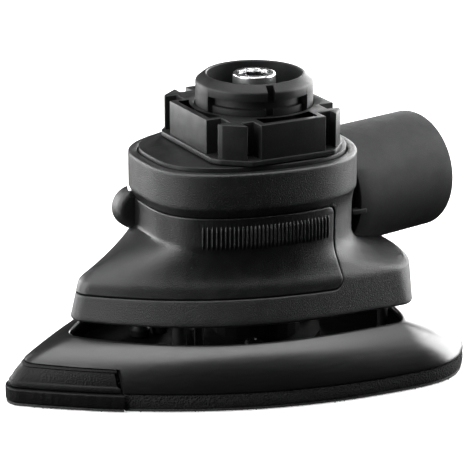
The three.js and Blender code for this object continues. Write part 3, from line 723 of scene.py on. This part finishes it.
def tip_holder():
    """The tip's upper part: a sunk panel between two lips under the dome, and a tongue into the pad."""
    low, panel_low, panel_high = FOAM_TOP + GAP, FOAM_TOP + 2.1, TIP_TOP - 0.9
    profile = [(low, 0.8), (low + 0.15, 0.5), (low + 0.4, 0.42), (panel_low - 0.4, 0.42),
               (panel_low - 0.15, 0.55), (panel_low, 0.9), (panel_low + 0.15, 1.1)]
    profile += [(mixed(panel_low + 0.4, panel_high - 0.4, t), 1.12) for t in np.linspace(0, 1, 7)]
    profile += [(panel_high - 0.15, 1.1), (panel_high, 0.9), (panel_high + 0.15, 0.62),
                (panel_high + 0.4, 0.55), (TIP_TOP - 0.15, 0.6), (TIP_TOP, 0.9)]
    holder = loft("tip_carrier", layer_rows(profile, dome_shape, True), sharp=28)
    tongue = block_piece("tongue", (TIP_REAR_X - 1, -7, low + 2.6), (TIP_REAR_X + 12, 7, low + 4.5), 0.3)
    well = placed(turned("well", [(0, -4), (3, -4), (3, 4), (0, 4)], 48),
                  moved(TIP_SCREW.x, TIP_SCREW.y, TIP_TOP + 2.1))
    return joined(carved(holder, well, sharp=28), tongue)


def tip_foam():
    profile = [(z, inset - TIP_PROUD) for z, inset in rounded_rows(FOAM_BOTTOM, FOAM_TOP, 0.5)]
    return roughened(loft("tip_sole", layer_rows(profile, BASE, True), sharp=40), 0.08, 1.1, 21)


def make_pad():
    dressed(pad_shell(), "pad", SHELL, "shell_gloss", "pad_shell")
    foam = dressed(foam_pad(), "pad", FOAM, "foam", "foam_pad")
    dressed(hook_layer("hook_sole", 0.45, False), "pad", PILE, "hook", "hook_sheet")
    dressed(tip_holder(), "tip", TIP, "tip_black", "tip_holder")
    tip_pad = dressed(tip_foam(), "tip", TIP, "tip_black", "tip_foam")
    dressed(hook_layer("tip_hooks", 0.45 - TIP_PROUD, True), "tip", PILE, "hook", "tip_hook")


# ---- housing ----
def raw_hull_shape(z):
    """The housing's outline at a height: rim, crease, hollow skirt and neck."""
    if z <= RIM_BOTTOM + 0.6:
        return RIM_FOOT
    if z <= CREASE_Z - 0.6:
        return blended(RIM_FOOT, CREASE_EDGE, (z - RIM_BOTTOM - 0.6) / (CREASE_Z - RIM_BOTTOM - 1.2))
    if z <= CREASE_Z:
        return blended(CREASE_EDGE, CREASE, (z - CREASE_Z + 0.6) / 0.6)
    if z <= NECK_Z:
        return blended(CREASE, NECK, (z - CREASE_Z) / (NECK_Z - CREASE_Z), SKIRT_BEND)
    return NECK


def hull_shape(z, soften=0.7):
    """The same, averaged over a short height so that creases are rounded."""
    near = [raw_hull_shape(z + soften * t) for t in (-1, -0.6, -0.2, 0.2, 0.6, 1)]
    return {k: sum(shape[k] for shape in near) / len(near) for k in CREASE}


def cover_edges(grow):
    """X of the cover's rear edge, its foot and top heights, and its two corner radii, grown by grow."""
    return (COVER_REAR_X + grow, COVER_BOTTOM - grow, COVER_TOP + grow, COVER_CORNER + grow,
            COVER_TOP_CORNER + grow)


def cover_edge_distance(x, z, grow):
    """Signed distance in side view from the cover's edge line grown by grow; below 0 inside it."""
    x, z = np.asarray(x, float), np.asarray(z, float)
    rear, low, high, foot_r, top_r = cover_edges(grow)
    r = np.where(z > (low + high) / 2, top_r, foot_r)
    dx = x - (rear - r)
    dz = np.maximum(low + r - z, z - (high - r))
    corner = np.hypot(np.maximum(dx, 0), np.maximum(dz, 0)) - r
    return np.where((dx > 0) | (dz > 0), corner, np.maximum(dx, dz) - r)


def cover_edge_x(z, grow):
    """Where the cover's rear edge line crosses height z."""
    rear, low, high, r, top_r = cover_edges(grow)
    z = min(max(z, low), high)
    if z < low + r:
        return rear - r + math.sqrt(max(r * r - (low + r - z) ** 2, 0))
    if z > high - top_r:
        return rear - top_r + math.sqrt(max(top_r * top_r - (z - high + top_r) ** 2, 0))
    return rear


def eased_edge(distance, r):
    """How far a rounded edge of radius r sits back, at a distance from the edge line."""
    d = np.clip(distance, 0, r)
    return r - np.sqrt(np.maximum(r * r - (r - d) ** 2, 0))


def pushed_in(half, inset):
    """A half outline's points moved inward by inset along its normals, still ending on the axis."""
    shifted = half - normals_of(half) * np.broadcast_to(inset, len(half))[:, None]
    shifted[[0, -1], 1] = half[[0, -1], 1]
    return shifted


FLARE_START, FLARE_END = 52, BLOCK_BOTTOM + 3.1
EDGE_R = 0.4
FRONT_COLUMNS, REAR_COLUMNS = 110, 60
FINE_STEPS = 700


def flared(side, z, x_of):
    """Behind the cover the neck curves out into the block; x_of says where each point is along X."""
    t = np.clip((z - FLARE_START) / (FLARE_END - FLARE_START), 0, 1)
    block = side_of(BLOCK, 0.02)
    target = spaced(block, len(side))
    share = t ** 2.6
    start = COVER_REAR_X - 6 if z > COVER_TOP + GAP else COVER_REAR_X - 1
    w = eased((x_of - start) / (COVER_REAR_X + 1 - start)) * share
    return side * (1 - w)[:, None] + target * w[:, None]


def hull_row(z, recess):
    """One row of the housing: recess is how far the stretch under the cover sits back."""
    edge_x = cover_edge_x(z, GAP)
    outer = spaced(side_of(hull_shape(z)), FINE_STEPS)
    outer = flared(outer, z, outer[:, 0])
    ease = eased_edge(cover_edge_distance(outer[:, 0], z, GAP), EDGE_R)
    outer = pushed_in(outer, ease)
    order = np.argsort(outer[:, 0])
    outer = outer[order]
    if recess:
        inner = side_of(hull_shape(z + 0.6 * recess), recess)
        inner[:, 1] = np.minimum(inner[:, 1], np.interp(COVER_REAR_X, outer[:, 0], outer[:, 1]) - recess)
        front = cut_at(inner, high_x=edge_x)
    else:
        front = cut_at(outer, high_x=edge_x)
    front = spaced(front, FRONT_COLUMNS)
    rim_x = edge_x + EDGE_R * np.array([0, 0.12, 0.35, 0.65, 1.0])
    rim = np.stack([rim_x, np.interp(rim_x, outer[:, 0], outer[:, 1])], 1)
    rear = spaced(cut_at(outer, low_x=rim_x[-1] + 0.2), REAR_COLUMNS)
    return both_sides(np.concatenate([front, rim, rear]), z)


def hull_rows():
    low, high = COVER_BOTTOM - GAP, COVER_TOP + GAP
    recess = COVER_WALL + GAP
    corner = COVER_CORNER + GAP
    near = np.array([0.05, 0.14, 0.26, 0.4])
    below = [RIM_BOTTOM + 1.0, 26, 28, 30, 31.2, *(low - near[::-1])]
    inside_z = [low + corner * drop(a) for a in (8, 16, 26, 38, 52, 68, 84)]
    inside_z += [*np.arange(low + corner + 0.5, high - 3.2, 0.75), *np.arange(high - 3, high - 0.2, 0.4)]
    above = [*(high + near), *np.linspace(high + 0.8, FLARE_END, 6)]
    rows = [foot_row(z, inset) for z, inset in rounded_rows(RIM_BOTTOM, RIM_BOTTOM + 2, 0.8)[:5]]
    rows += [hull_row(z, 0) for z in below] + [hull_row(low, 0), hull_row(low, recess)]
    rows += [hull_row(z, recess) for z in inside_z] + [hull_row(high, recess), hull_row(high, 0)]
    rows += [hull_row(z, 0) for z in above]
    columns = len(rows[0]) // 2 + 1
    inner = [(FLARE_END, 4.4), (56.5, 4.4)] + [(z, HOUSING_WALL) for z in (54, 50, 46, 42, 38, 34, 28)]
    rows += [ring_at(z, hull_shape(z + 2), inset, columns) for z, inset in inner]
    rows.append(ring_at(RIM_BOTTOM, RIM_FOOT, HOUSING_WALL, columns))
    return rows


def foot_row(z, inset):
    """A row of the rim's rounded foot, its points spread as in the rows above it."""
    guide = hull_row(RIM_BOTTOM + 1.0, 0)[:FRONT_COLUMNS + REAR_COLUMNS + 5, :2] * [1, -1]
    return both_sides(pushed_in(guide, inset), z)


def upper_block():
    rim = COUPLING_INSET - 0.4
    bevel = ((0, 4.4), (0, 1.7), (0.1, 1.4), (0.3, 1.2), (2.2, 0.25), (2.6, 0.07), (3.0, 0))
    profile = [(BLOCK_BOTTOM + up, inset) for up, inset in bevel]
    profile += [(z, 0) for z in np.linspace(BLOCK_BOTTOM + 4, BLOCK_TOP - 1.2, 6)]
    profile += rounded_rows(BLOCK_BOTTOM, BLOCK_TOP, 0.7)[5:]
    profile += [(BLOCK_TOP, 1.6), (BLOCK_TOP, rim - 0.35), (BLOCK_TOP - 0.1, rim - 0.1),
                (BLOCK_TOP - 0.35, rim), (POCKET_FLOOR + 0.2, rim), (POCKET_FLOOR, rim + 0.2)]
    rows = [ring_at(z, BLOCK, inset, 220) for z, inset in profile]
    rows += [circle_at(z, 14, 220) for z in (POCKET_FLOOR, POCKET_FLOOR - 2.4)]
    return loft("block_part", rows, closed=True, sharp=32)


def main_housing():
    hull = loft("housing_shell", hull_rows(), closed=True, sharp=32)
    duct = outlet_frame(turned("duct", [(0, 20), (9, 20), (9, 50), (0, 50)], 64))
    placed(duct, moved(0, 0, -3))
    return joined(carved(hull, duct, sharp=32), upper_block())


def cover_row(z, inner):
    """Half a row of the cover, nose to rear edge: its outside, or its inside."""
    edge_x = cover_edge_x(z, 0)
    if inner:
        half = cut_at(side_of(hull_shape(z + 0.6 * COVER_WALL), COVER_WALL), high_x=edge_x)
        return spaced(half, FRONT_COLUMNS)
    side = spaced(side_of(hull_shape(z)), FINE_STEPS)
    ease = eased_edge(-cover_edge_distance(side[:, 0], z, 0), EDGE_R)
    side = pushed_in(side, np.where(side[:, 0] < edge_x, ease, EDGE_R))
    side = side[np.argsort(side[:, 0])]
    front = spaced(cut_at(side, high_x=edge_x - EDGE_R), FRONT_COLUMNS - 4)
    rim_x = edge_x - EDGE_R * np.array([0.65, 0.35, 0.12, 0])
    return np.concatenate([front, np.stack([rim_x, np.interp(rim_x, side[:, 0], side[:, 1])], 1)])


def open_row(half, z):
    """A row from the right rear round the nose to the left rear."""
    return level(np.concatenate([half[::-1], half[1:] * [1, -1]]), z)


def cover_heights():
    """Heights of the cover's rows, close together where its edge is rounded."""
    edge = EDGE_R * np.array([0, 0.12, 0.35, 0.65, 1.0])
    foot = [COVER_BOTTOM + COVER_CORNER * drop(a) for a in (34, 46, 60, 76, 90)]
    head = [COVER_TOP - COVER_TOP_CORNER * drop(a) for a in (90, 74, 58, 42)]
    middle = np.arange(foot[-1] + 0.6, head[0] - 0.2, 0.7)
    return sorted([*(COVER_BOTTOM + edge), *foot, *middle, *head, *(COVER_TOP - edge)])


def cover_skin():
    """Loops out along the cover and back inside it, closed by strips of quads at its foot and top."""
    heights = cover_heights()
    rows = [np.concatenate([open_row(cover_row(z, False), z), open_row(cover_row(z, True), z)[::-1]])
            for z in heights]
    columns = len(rows[0])
    faces = grid_faces(len(rows), columns)
    for first in (0, (len(rows) - 1) * columns):
        faces += [(first + c, first + c + 1, first + columns - 2 - c, first + columns - 1 - c)
                  for c in range(columns // 2 - 1)]
    return new_object("cover", np.concatenate(rows), faces, sharp=32)


RIBS = {"first": -29, "last": 11.1, "count": 33, "low": 47.5, "high": 55.4, "wide": 0.36, "proud": 0.5}


def finger_rib(x, side):
    """One rib: a half-round bar that follows the cover's surface and tapers into it at both ends."""
    steps, facets = 16, 10
    rows = []
    for k in range(steps + 1):
        t = k / steps
        z = mixed(RIBS["low"], RIBS["high"], t)
        line = side_of(hull_shape(z))
        y = float(np.interp(x, line[:, 0], line[:, 1]))
        swell = min(1, 5 * t, 5 * (1 - t)) ** 0.5
        angles = np.linspace(0, 2 * math.pi, facets, endpoint=False)
        out = y + RIBS["proud"] * (np.cos(angles) * swell + 0.25 * (swell - 1))
        rows.append(np.stack([x + RIBS["wide"] * np.sin(angles) * max(swell, 0.3), side * out,
                              np.full(facets, z)], 1))
    return loft("rib", rows, sharp=60)


def round_lug():
    r, half, low = LUG["r"], LUG["half"], -LUG["half"]
    edge = 2.2
    profile = [(0, low), (r - edge, low)] + arc_points((r - edge, low + edge), edge, -90, 0)
    profile += arc_points((r - edge, half - edge), edge, 0, 90) + [(0, half)]
    lug = turned("lug", profile, 64, sharp=40)
    placed(lug, moved(LUG["x"], LUG["y"], LUG["z"]) @ turned_by(90, "X"))
    room = loft("room", [ring_at(z, BLOCK, -GAP, 80) for z in (COVER_TOP, 80)])
    return carved(lug, room, sharp=40)


def make_housing():
    dressed(main_housing(), "housing", GRAINY, "housing_grain", "main_housing")
    cover = cover_skin()
    ribs = [finger_rib(x, side) for side in (-1, 1)
            for x in np.linspace(RIBS["first"], RIBS["last"], RIBS["count"])]
    dressed(joined(cover, *ribs), "cover", COVER, "cover_smooth", "front_cover")
    dressed(round_lug(), "cover", GRAINY, "housing_grain")


# ---- coupling ----
def ring_outline(grow=0.0, slots=True):
    """The ring's plan with its eight slots, as a closed loop of [x, y]."""
    front, rear, side = RING["front"] - grow, RING["rear"] + grow, RING["side"] + grow
    depth, wide_x, wide_y = SLOT["depth"], SLOT["wide_x"] / 2, SLOT["wide_y"] / 2

    def quarter(end, sign):
        """From the end face's middle to the side face's middle."""
        corner = (end - sign * RING["corner_x"], RING["corner_y"])
        slant = (sign * RING["slant_x"], side)
        if not slots:
            return [(end, RING["side_y"]), corner, slant]
        near_y, far_y, inner = SLOT["y"] - wide_y, SLOT["y"] + wide_y, end - sign * depth
        x0, x1 = sign * (SLOT["x"] + wide_x), sign * (SLOT["x"] - wide_x)
        cut_y = mixed(corner[1], side, (corner[0] - x0) / (corner[0] - slant[0]))
        floor = RING["side"] - depth
        return [(end, near_y), (inner, near_y), (inner, far_y), (end - sign * 1.0, far_y), corner,
                (x0, cut_y), (x0, floor), (x1, floor), (x1, side)]

    back, fore = quarter(rear, 1), quarter(front, -1)
    right = back + fore[::-1]
    return right + [(x, -y) for x, y in right[::-1]]


def softened(loop, r=0.35, steps=3):
    """A loop of points with each corner replaced by a small arc."""
    loop = [Vector(p) for p in loop]
    made = []
    for k, corner in enumerate(loop):
        before, after = loop[k - 1] - corner, loop[(k + 1) % len(loop)] - corner
        reach = min(r, before.length * 0.45, after.length * 0.45)
        a, b = corner + before.normalized() * reach, corner + after.normalized() * reach
        for t in np.linspace(0, 1, steps + 1):
            made.append(tuple(a * (1 - t) ** 2 + corner * 2 * t * (1 - t) + b * t * t))
    return made


def circle_loop(r, count=96):
    return [(r * math.cos(t), r * math.sin(t)) for t in np.linspace(0, 2 * math.pi, count, endpoint=False)]


def ring_pockets():
    """Outlines of the hollows behind the ring's walls, which leave it a thin-walled moulding."""
    inner_r = COLLAR_R + GAP + 1.7
    reach_x = SLOT["x"] - SLOT["wide_x"] / 2 - RING_WALL
    reach_y = SLOT["y"] - SLOT["wide_y"] / 2 - RING_WALL

    def pocket(wall, sign, reach, count):
        """From a straight wall to the arc round the collar, as [along the wall, across it]."""
        arc = [(a, sign * math.sqrt(inner_r ** 2 - a ** 2)) for a in np.linspace(reach, -reach, count)]
        return [(-reach, wall), (reach, wall)] + arc

    pockets = []
    for sign in (-1, 1):
        pockets.append(pocket(sign * (RING["side"] - RING_WALL), sign, reach_x, 13))
        end = RING["front"] + RING_WALL if sign < 0 else RING["rear"] - RING_WALL
        if abs(end) > inner_r + 0.8:
            pockets.append([(x, y) for y, x in pocket(end, sign, reach_y, 11)])
    return pockets


def castle_ring():
    bore = circle_loop(COLLAR_R + GAP)
    wall = plate("slotted_ring", [softened(ring_outline()), bore], RING_FOOT, RING_TOP, 0.3)
    for pocket in ring_pockets():
        cutter = plate("pocket", [softened(pocket, 0.5)], RING_FLANGE_TOP + 1, RING_TOP + 4, 0.05)
        wall = carved(wall, cutter, sharp=30)
    foot = plate("ring_foot", [softened(ring_outline(RING_FLANGE, slots=False), 0.8), bore],
                 RING_FOOT, RING_FLANGE_TOP, 0.3)
    return joined(wall, foot)


def bayonet_collar():
    """A collar with two wide lugs; between them it is thinner, with a groove near the top."""
    low, high, groove_r = COLLAR_GROOVE
    r, mouth = COLLAR_R, COLLAR_BORE_R
    core_r = [COLLAR_CORE_R, COLLAR_CORE_R, COLLAR_CORE_R, groove_r, groove_r, r - 0.2]
    heights = [RING_FOOT, low - 1, low, low + 0.4, high - 0.5, high - 0.1]
    top = [(r, 2.6), (r - 0.12, 2.2), (r - 0.45, 1.85), (mouth + 1.0, 0.12), (mouth + 0.75, 0),
           (mouth + 0.3, 0), (mouth, 0.35)]
    rows = [(core, r, z) for core, z in zip(core_r, heights)]
    rows += [(x, x, COLLAR_TOP - depth) for x, depth in top] + [(mouth, mouth, RING_FOOT)]
    edges = [centre + side * COLLAR_LUG_HALF for centre in COLLAR_LUGS for side in (-1, 1)]
    near_edges = [(e + d) % 360 for e in edges for d in (-0.9, -0.45, 0, 0.45, 0.9)]
    turns = np.linspace(0, 360, 240, endpoint=False)
    turns = np.unique(np.round(np.concatenate([turns, near_edges]), 4))
    off = np.min([np.abs((turns - centre + 180) % 360 - 180) for centre in COLLAR_LUGS], 0) - COLLAR_LUG_HALF
    w = eased(0.5 - off / 1.8)
    verts = np.concatenate([wheel_row(mixed(core, lug, w), z, np.radians(turns)) for core, lug, z in rows])
    collar = new_object("collar", verts, grid_faces(len(rows), len(turns), closed=True), sharp=28)
    for turn in COLLAR_NOTCHES:
        notch = block_piece("notch", (16.2, -1.2, 86), (22, 1.2, 100), 0)
        collar = carved(collar, placed(notch, turned_by(turn, "Z")), sharp=28)
    return collar


def coupling_plate():
    loop = [tuple(p[:2]) for p in ring_at(0, BLOCK, COUPLING_INSET, 160)]
    return plate("top_plate", [loop, circle_loop(7.2, 64)], POCKET_FLOOR + 0.2, COUPLING_TOP, 0.35)


def splined(name, rows):
    """A turned ring from (radius, z, lobed) rows, whose lobed ones wave in and out around the bore."""
    turn = np.linspace(0, 2 * math.pi, SPLINE_SEGMENTS, endpoint=False)
    wave = SPLINE_DEPTH * np.cos(SPLINES * turn)
    verts = np.concatenate([wheel_row(r + lobed * wave, z, turn) for r, z, lobed in rows])
    return new_object(name, verts, grid_faces(len(rows), SPLINE_SEGMENTS, closed=True))


def drive_socket():
    """The socket: a turned sleeve whose bore has eight rounded splines."""
    shaft_r, r, bore = 4.2, SOCKET_R, SOCKET_BORE_R
    profile = [(shaft_r, SOCKET_FOOT + 8), (shaft_r, SOCKET_FOOT), (r - 0.4, SOCKET_FOOT)]
    profile += [(r, SOCKET_FOOT + 0.4), (r, COLLAR_TOP - 0.7)]
    profile += arc_points((r - 0.7, COLLAR_TOP - 0.7), 0.7, 0, 90)[1:]
    spline = [(bore + 0.35, 0), (bore + 0.1, 0.15), (bore, 0.5), (bore, 9.9)]
    floor = [(0.4, COLLAR_TOP - 10), (0.4, SOCKET_FOOT + 8.2)]
    return splined("splined_socket", [(a, z, 0) for a, z in profile]
                   + [(a, COLLAR_TOP - depth, 1) for a, depth in spline] + [(a, z, 0) for a, z in floor])


def bore_shade_sleeve():
    """Painted shade in the socket's bore: a thin dark sleeve inside the splines, below the bright mouth,
    stands for the shade deep in the bore.
    """
    top, floor = COLLAR_TOP - 1.0, COLLAR_TOP - 9.8
    outer, inner = SOCKET_BORE_R - 0.02, SOCKET_BORE_R - 0.14
    return splined("painted_bore_shade", [(outer, top, 1), (outer, floor, 1), (0.5, floor, 0),
                                   (0.5, floor + 0.15, 0), (inner, floor + 0.15, 1), (inner, top, 1)])


def make_coupling():
    dressed(coupling_plate(), "housing", COUPLING, "coupling_plastic", "coupling_plate")
    dressed(castle_ring(), "housing", COUPLING, "coupling_plastic", "castle_ring")
    dressed(bayonet_collar(), "housing", COUPLING, "coupling_plastic", "bayonet_collar")
    dressed(drive_socket(), "spindle", STEEL, "steel", "drive_socket")
    # the dark sleeve paints the shade inside the socket's bore
    dressed(bore_shade_sleeve(), "spindle", BORE_SHADE, "zinc_steel")


# ---- dust outlet ----
def housing_cutter(grow):
    """The housing's outside grown by grow, to cut the tubes to it."""
    rows = [ring_at(z, hull_shape(z), -grow, 80) for z in np.arange(20, 63.1, 1.0)]
    block = loft("block_cutter", [ring_at(z, BLOCK, -grow, 80) for z in (BLOCK_BOTTOM - 2, BLOCK_TOP + 5)])
    return loft("hull_cutter", rows), block


def dust_outlet():
    spigot = outlet_frame(turned("spigot", [(SPIGOT_BORE_R, 24), (SPIGOT_R, 24), (SPIGOT_R, SPIGOT_END - 1.2),
                                            (SPIGOT_R - 0.8, SPIGOT_END), (SPIGOT_BORE_R, SPIGOT_END)], 96))
    return carved(spigot, *housing_cutter(0.3))


def dust_adaptor():
    start, end = OUTLET["start"], OUTLET["end"]
    profile = [(ADAPTOR_BORE_R, start), (ADAPTOR_R - 0.5, start), (ADAPTOR_R - 0.12, start + 0.15)]
    profile += [(ADAPTOR_R, start + 0.5)] + [(ADAPTOR_R, z) for z in np.linspace(start + 6, end - 6, 5)]
    profile += [(ADAPTOR_R, end - 0.9)] + arc_points((ADAPTOR_R - 0.9, end - 0.9), 0.9, 0, 90)[1:]
    profile += [(ADAPTOR_BORE_R + 0.5, end), (ADAPTOR_BORE_R, end - 0.5)]
    tube = outlet_frame(turned("hose_tube", profile, 160))
    tab = block_piece("catch_tab", (26, -17.8, 49.8), (31.5, -14.8, 51.4), 0.3)
    tube = carved(tube, *housing_cutter(0.5))
    return joined(tube, carved(tab, *housing_cutter(0.5)))


def make_outlet():
    dressed(dust_outlet(), "housing", INNER, "inner_plastic", "dust_outlet")
    dressed(dust_adaptor(), "adaptor", TUBE, "tube_grey", "dust_adaptor")


# ---- posts and carried-over pieces ----
def rubber_post(name):
    low, high = box_mm(name)
    foot, r = (high.x - low.x) / 2, {"front": 2.2, "middle": 1.5, "rear": 1.7}[name.split("_")[0]]
    head = r + 1.0
    profile = [(0, low.z), (head - 0.3, low.z), (head, low.z + 0.3), (head, low.z + 2.2)]
    profile += arc_points((r + 0.8, low.z + 3.6), 0.8, 230, 180, 3)
    profile += [(r, low.z + 8), (r, high.z - 2.9)] + arc_points((r + 0.8, high.z - 2.9), 0.8, 180, 130, 3)
    profile += [(foot, high.z - 1.6), (foot, high.z - 0.2), (foot - 0.2, high.z), (0, high.z)]
    pillar = turned(name.replace("post", "pillar"), profile, 40, sharp=40)
    return placed(pillar, moved((low.x + high.x) / 2, (low.y + high.y) / 2, 0))


POSTS = [f"{place}_post_{side}" for place in ("front", "middle", "rear") for side in ("left", "right")]
SLOT_MATERIALS = {"inner_plastic": INNER, "steel": STEEL, "zinc_steel": ZINC, "carrier_alloy": ALLOY}


def make_small_pieces():
    for name in POSTS:
        dressed(rubber_post(name), "housing", RUBBER, "rubber", name)
    slots = {row["node"]: row["material_slot"] for row in frame["record"]["subparts"]}
    for name, node in frame["nodes"].items():
        if node.hide_render:
            continue
        smooth(node.data, 30)
        node.data.materials.clear()
        node.data.materials.append(SLOT_MATERIALS[slots[name]])


# ---- studio ----
ROOM_LIGHT = 0.22
CAMERA = {"azimuth": -27.5, "elevation": 18.2, "distance": 800, "target": (-6.8, 0, 43.1), "lens": 191.8}


def look_at(piece, place, target):
    piece.location = place
    piece.rotation_mode = "QUATERNION"
    piece.rotation_quaternion = (Vector(target) - Vector(place)).to_track_quat("-Z", "Y")


def towards(azimuth, elevation):
    a, e = math.radians(azimuth), math.radians(elevation)
    return Vector((math.sin(a) * math.cos(e), -math.cos(a) * math.cos(e), math.sin(e)))


def make_camera():
    camera = linked("camera", bpy.data.cameras.new("camera"))
    camera.data.lens = CAMERA["lens"]
    camera.data.clip_start, camera.data.clip_end = 0.01, 20
    target = Vector(CAMERA["target"]) * MM
    place = target + towards(CAMERA["azimuth"], CAMERA["elevation"]) * CAMERA["distance"] * MM
    look_at(camera, place, target)
    bpy.context.scene.camera = camera


def soft_light(name, azimuth, elevation, distance, width, height, power):
    """A rectangular lamp of that size and distance in metres, aimed at the middle of the piece."""
    target = Vector((0, 0, 0.04))
    light = bpy.data.lights.new(name, "AREA")
    light.shape = "RECTANGLE"
    light.size, light.size_y = width, height
    light.energy = power
    look_at(linked(name, light), target + towards(azimuth, elevation) * distance, target)


def pale_floor():
    """A plain floor bright enough to read as white."""
    return new_material("pale_floor", (0.8, 0.8, 0.8), 0.9, specular=0.0, Emission_Strength=0.55,
                        Emission_Color=(1, 1, 1, 1))


def dim_world():
    """Soft room light: pale above, dark towards the horizon and below, and a plain pale backdrop."""
    world = bpy.data.worlds.new("studio")
    world.use_nodes = True
    nodes, links = tree_of(world)
    kinds = ("TexCoord", "SeparateXYZ", "ValToRGB", "LightPath", "MixShader", "Background")
    place, parts, ramp, rays, either, backdrop = [nodes.new("ShaderNode" + kind) for kind in kinds]
    for element, (position, level) in zip(ramp.color_ramp.elements, ((0.45, 0.05), (0.95, 1.0))):
        element.position = position
        element.color = (level, level, level, 1)
    room = nodes["Background"]
    room.inputs["Strength"].default_value = ROOM_LIGHT
    backdrop.inputs["Color"].default_value = (1, 1, 1, 1)
    for source, target in ((place.outputs["Generated"], parts.inputs["Vector"]),
                           (parts.outputs["Z"], ramp.inputs["Fac"]),
                           (ramp.outputs["Color"], room.inputs["Color"]),
                           (rays.outputs["Is Camera Ray"], either.inputs[0]),
                           (room.outputs[0], either.inputs[1]),
                           (backdrop.outputs[0], either.inputs[2]),
                           (either.outputs[0], nodes["World Output"].inputs["Surface"])):
        links.new(source, target)
    bpy.context.scene.world = world


def make_studio():
    bpy.ops.mesh.primitive_plane_add(size=12, location=(0, 0, 0))
    floor = bpy.context.object
    floor.name = "floor"
    floor.data.materials.append(pale_floor())
    floor.visible_glossy = False
    floor.visible_diffuse = False
    soft_light("top_softbox", 0, 90, 0.8, 0.9, 0.9, 10)
    soft_light("left_softbox", -92, 20, 0.8, 0.6, 0.8, 12)
    soft_light("right_softbox", 84, 18, 0.8, 0.6, 0.8, 17)
    soft_light("back_left", -150, 6, 0.9, 0.6, 0.5, 9)
    soft_light("back_right", 128, 6, 0.9, 0.6, 0.5, 10)
    dim_world()
    bpy.context.scene.view_settings.view_transform = "Standard"


make_camera()
make_pad()
make_housing()
make_coupling()
make_outlet()
make_small_pieces()
make_studio()
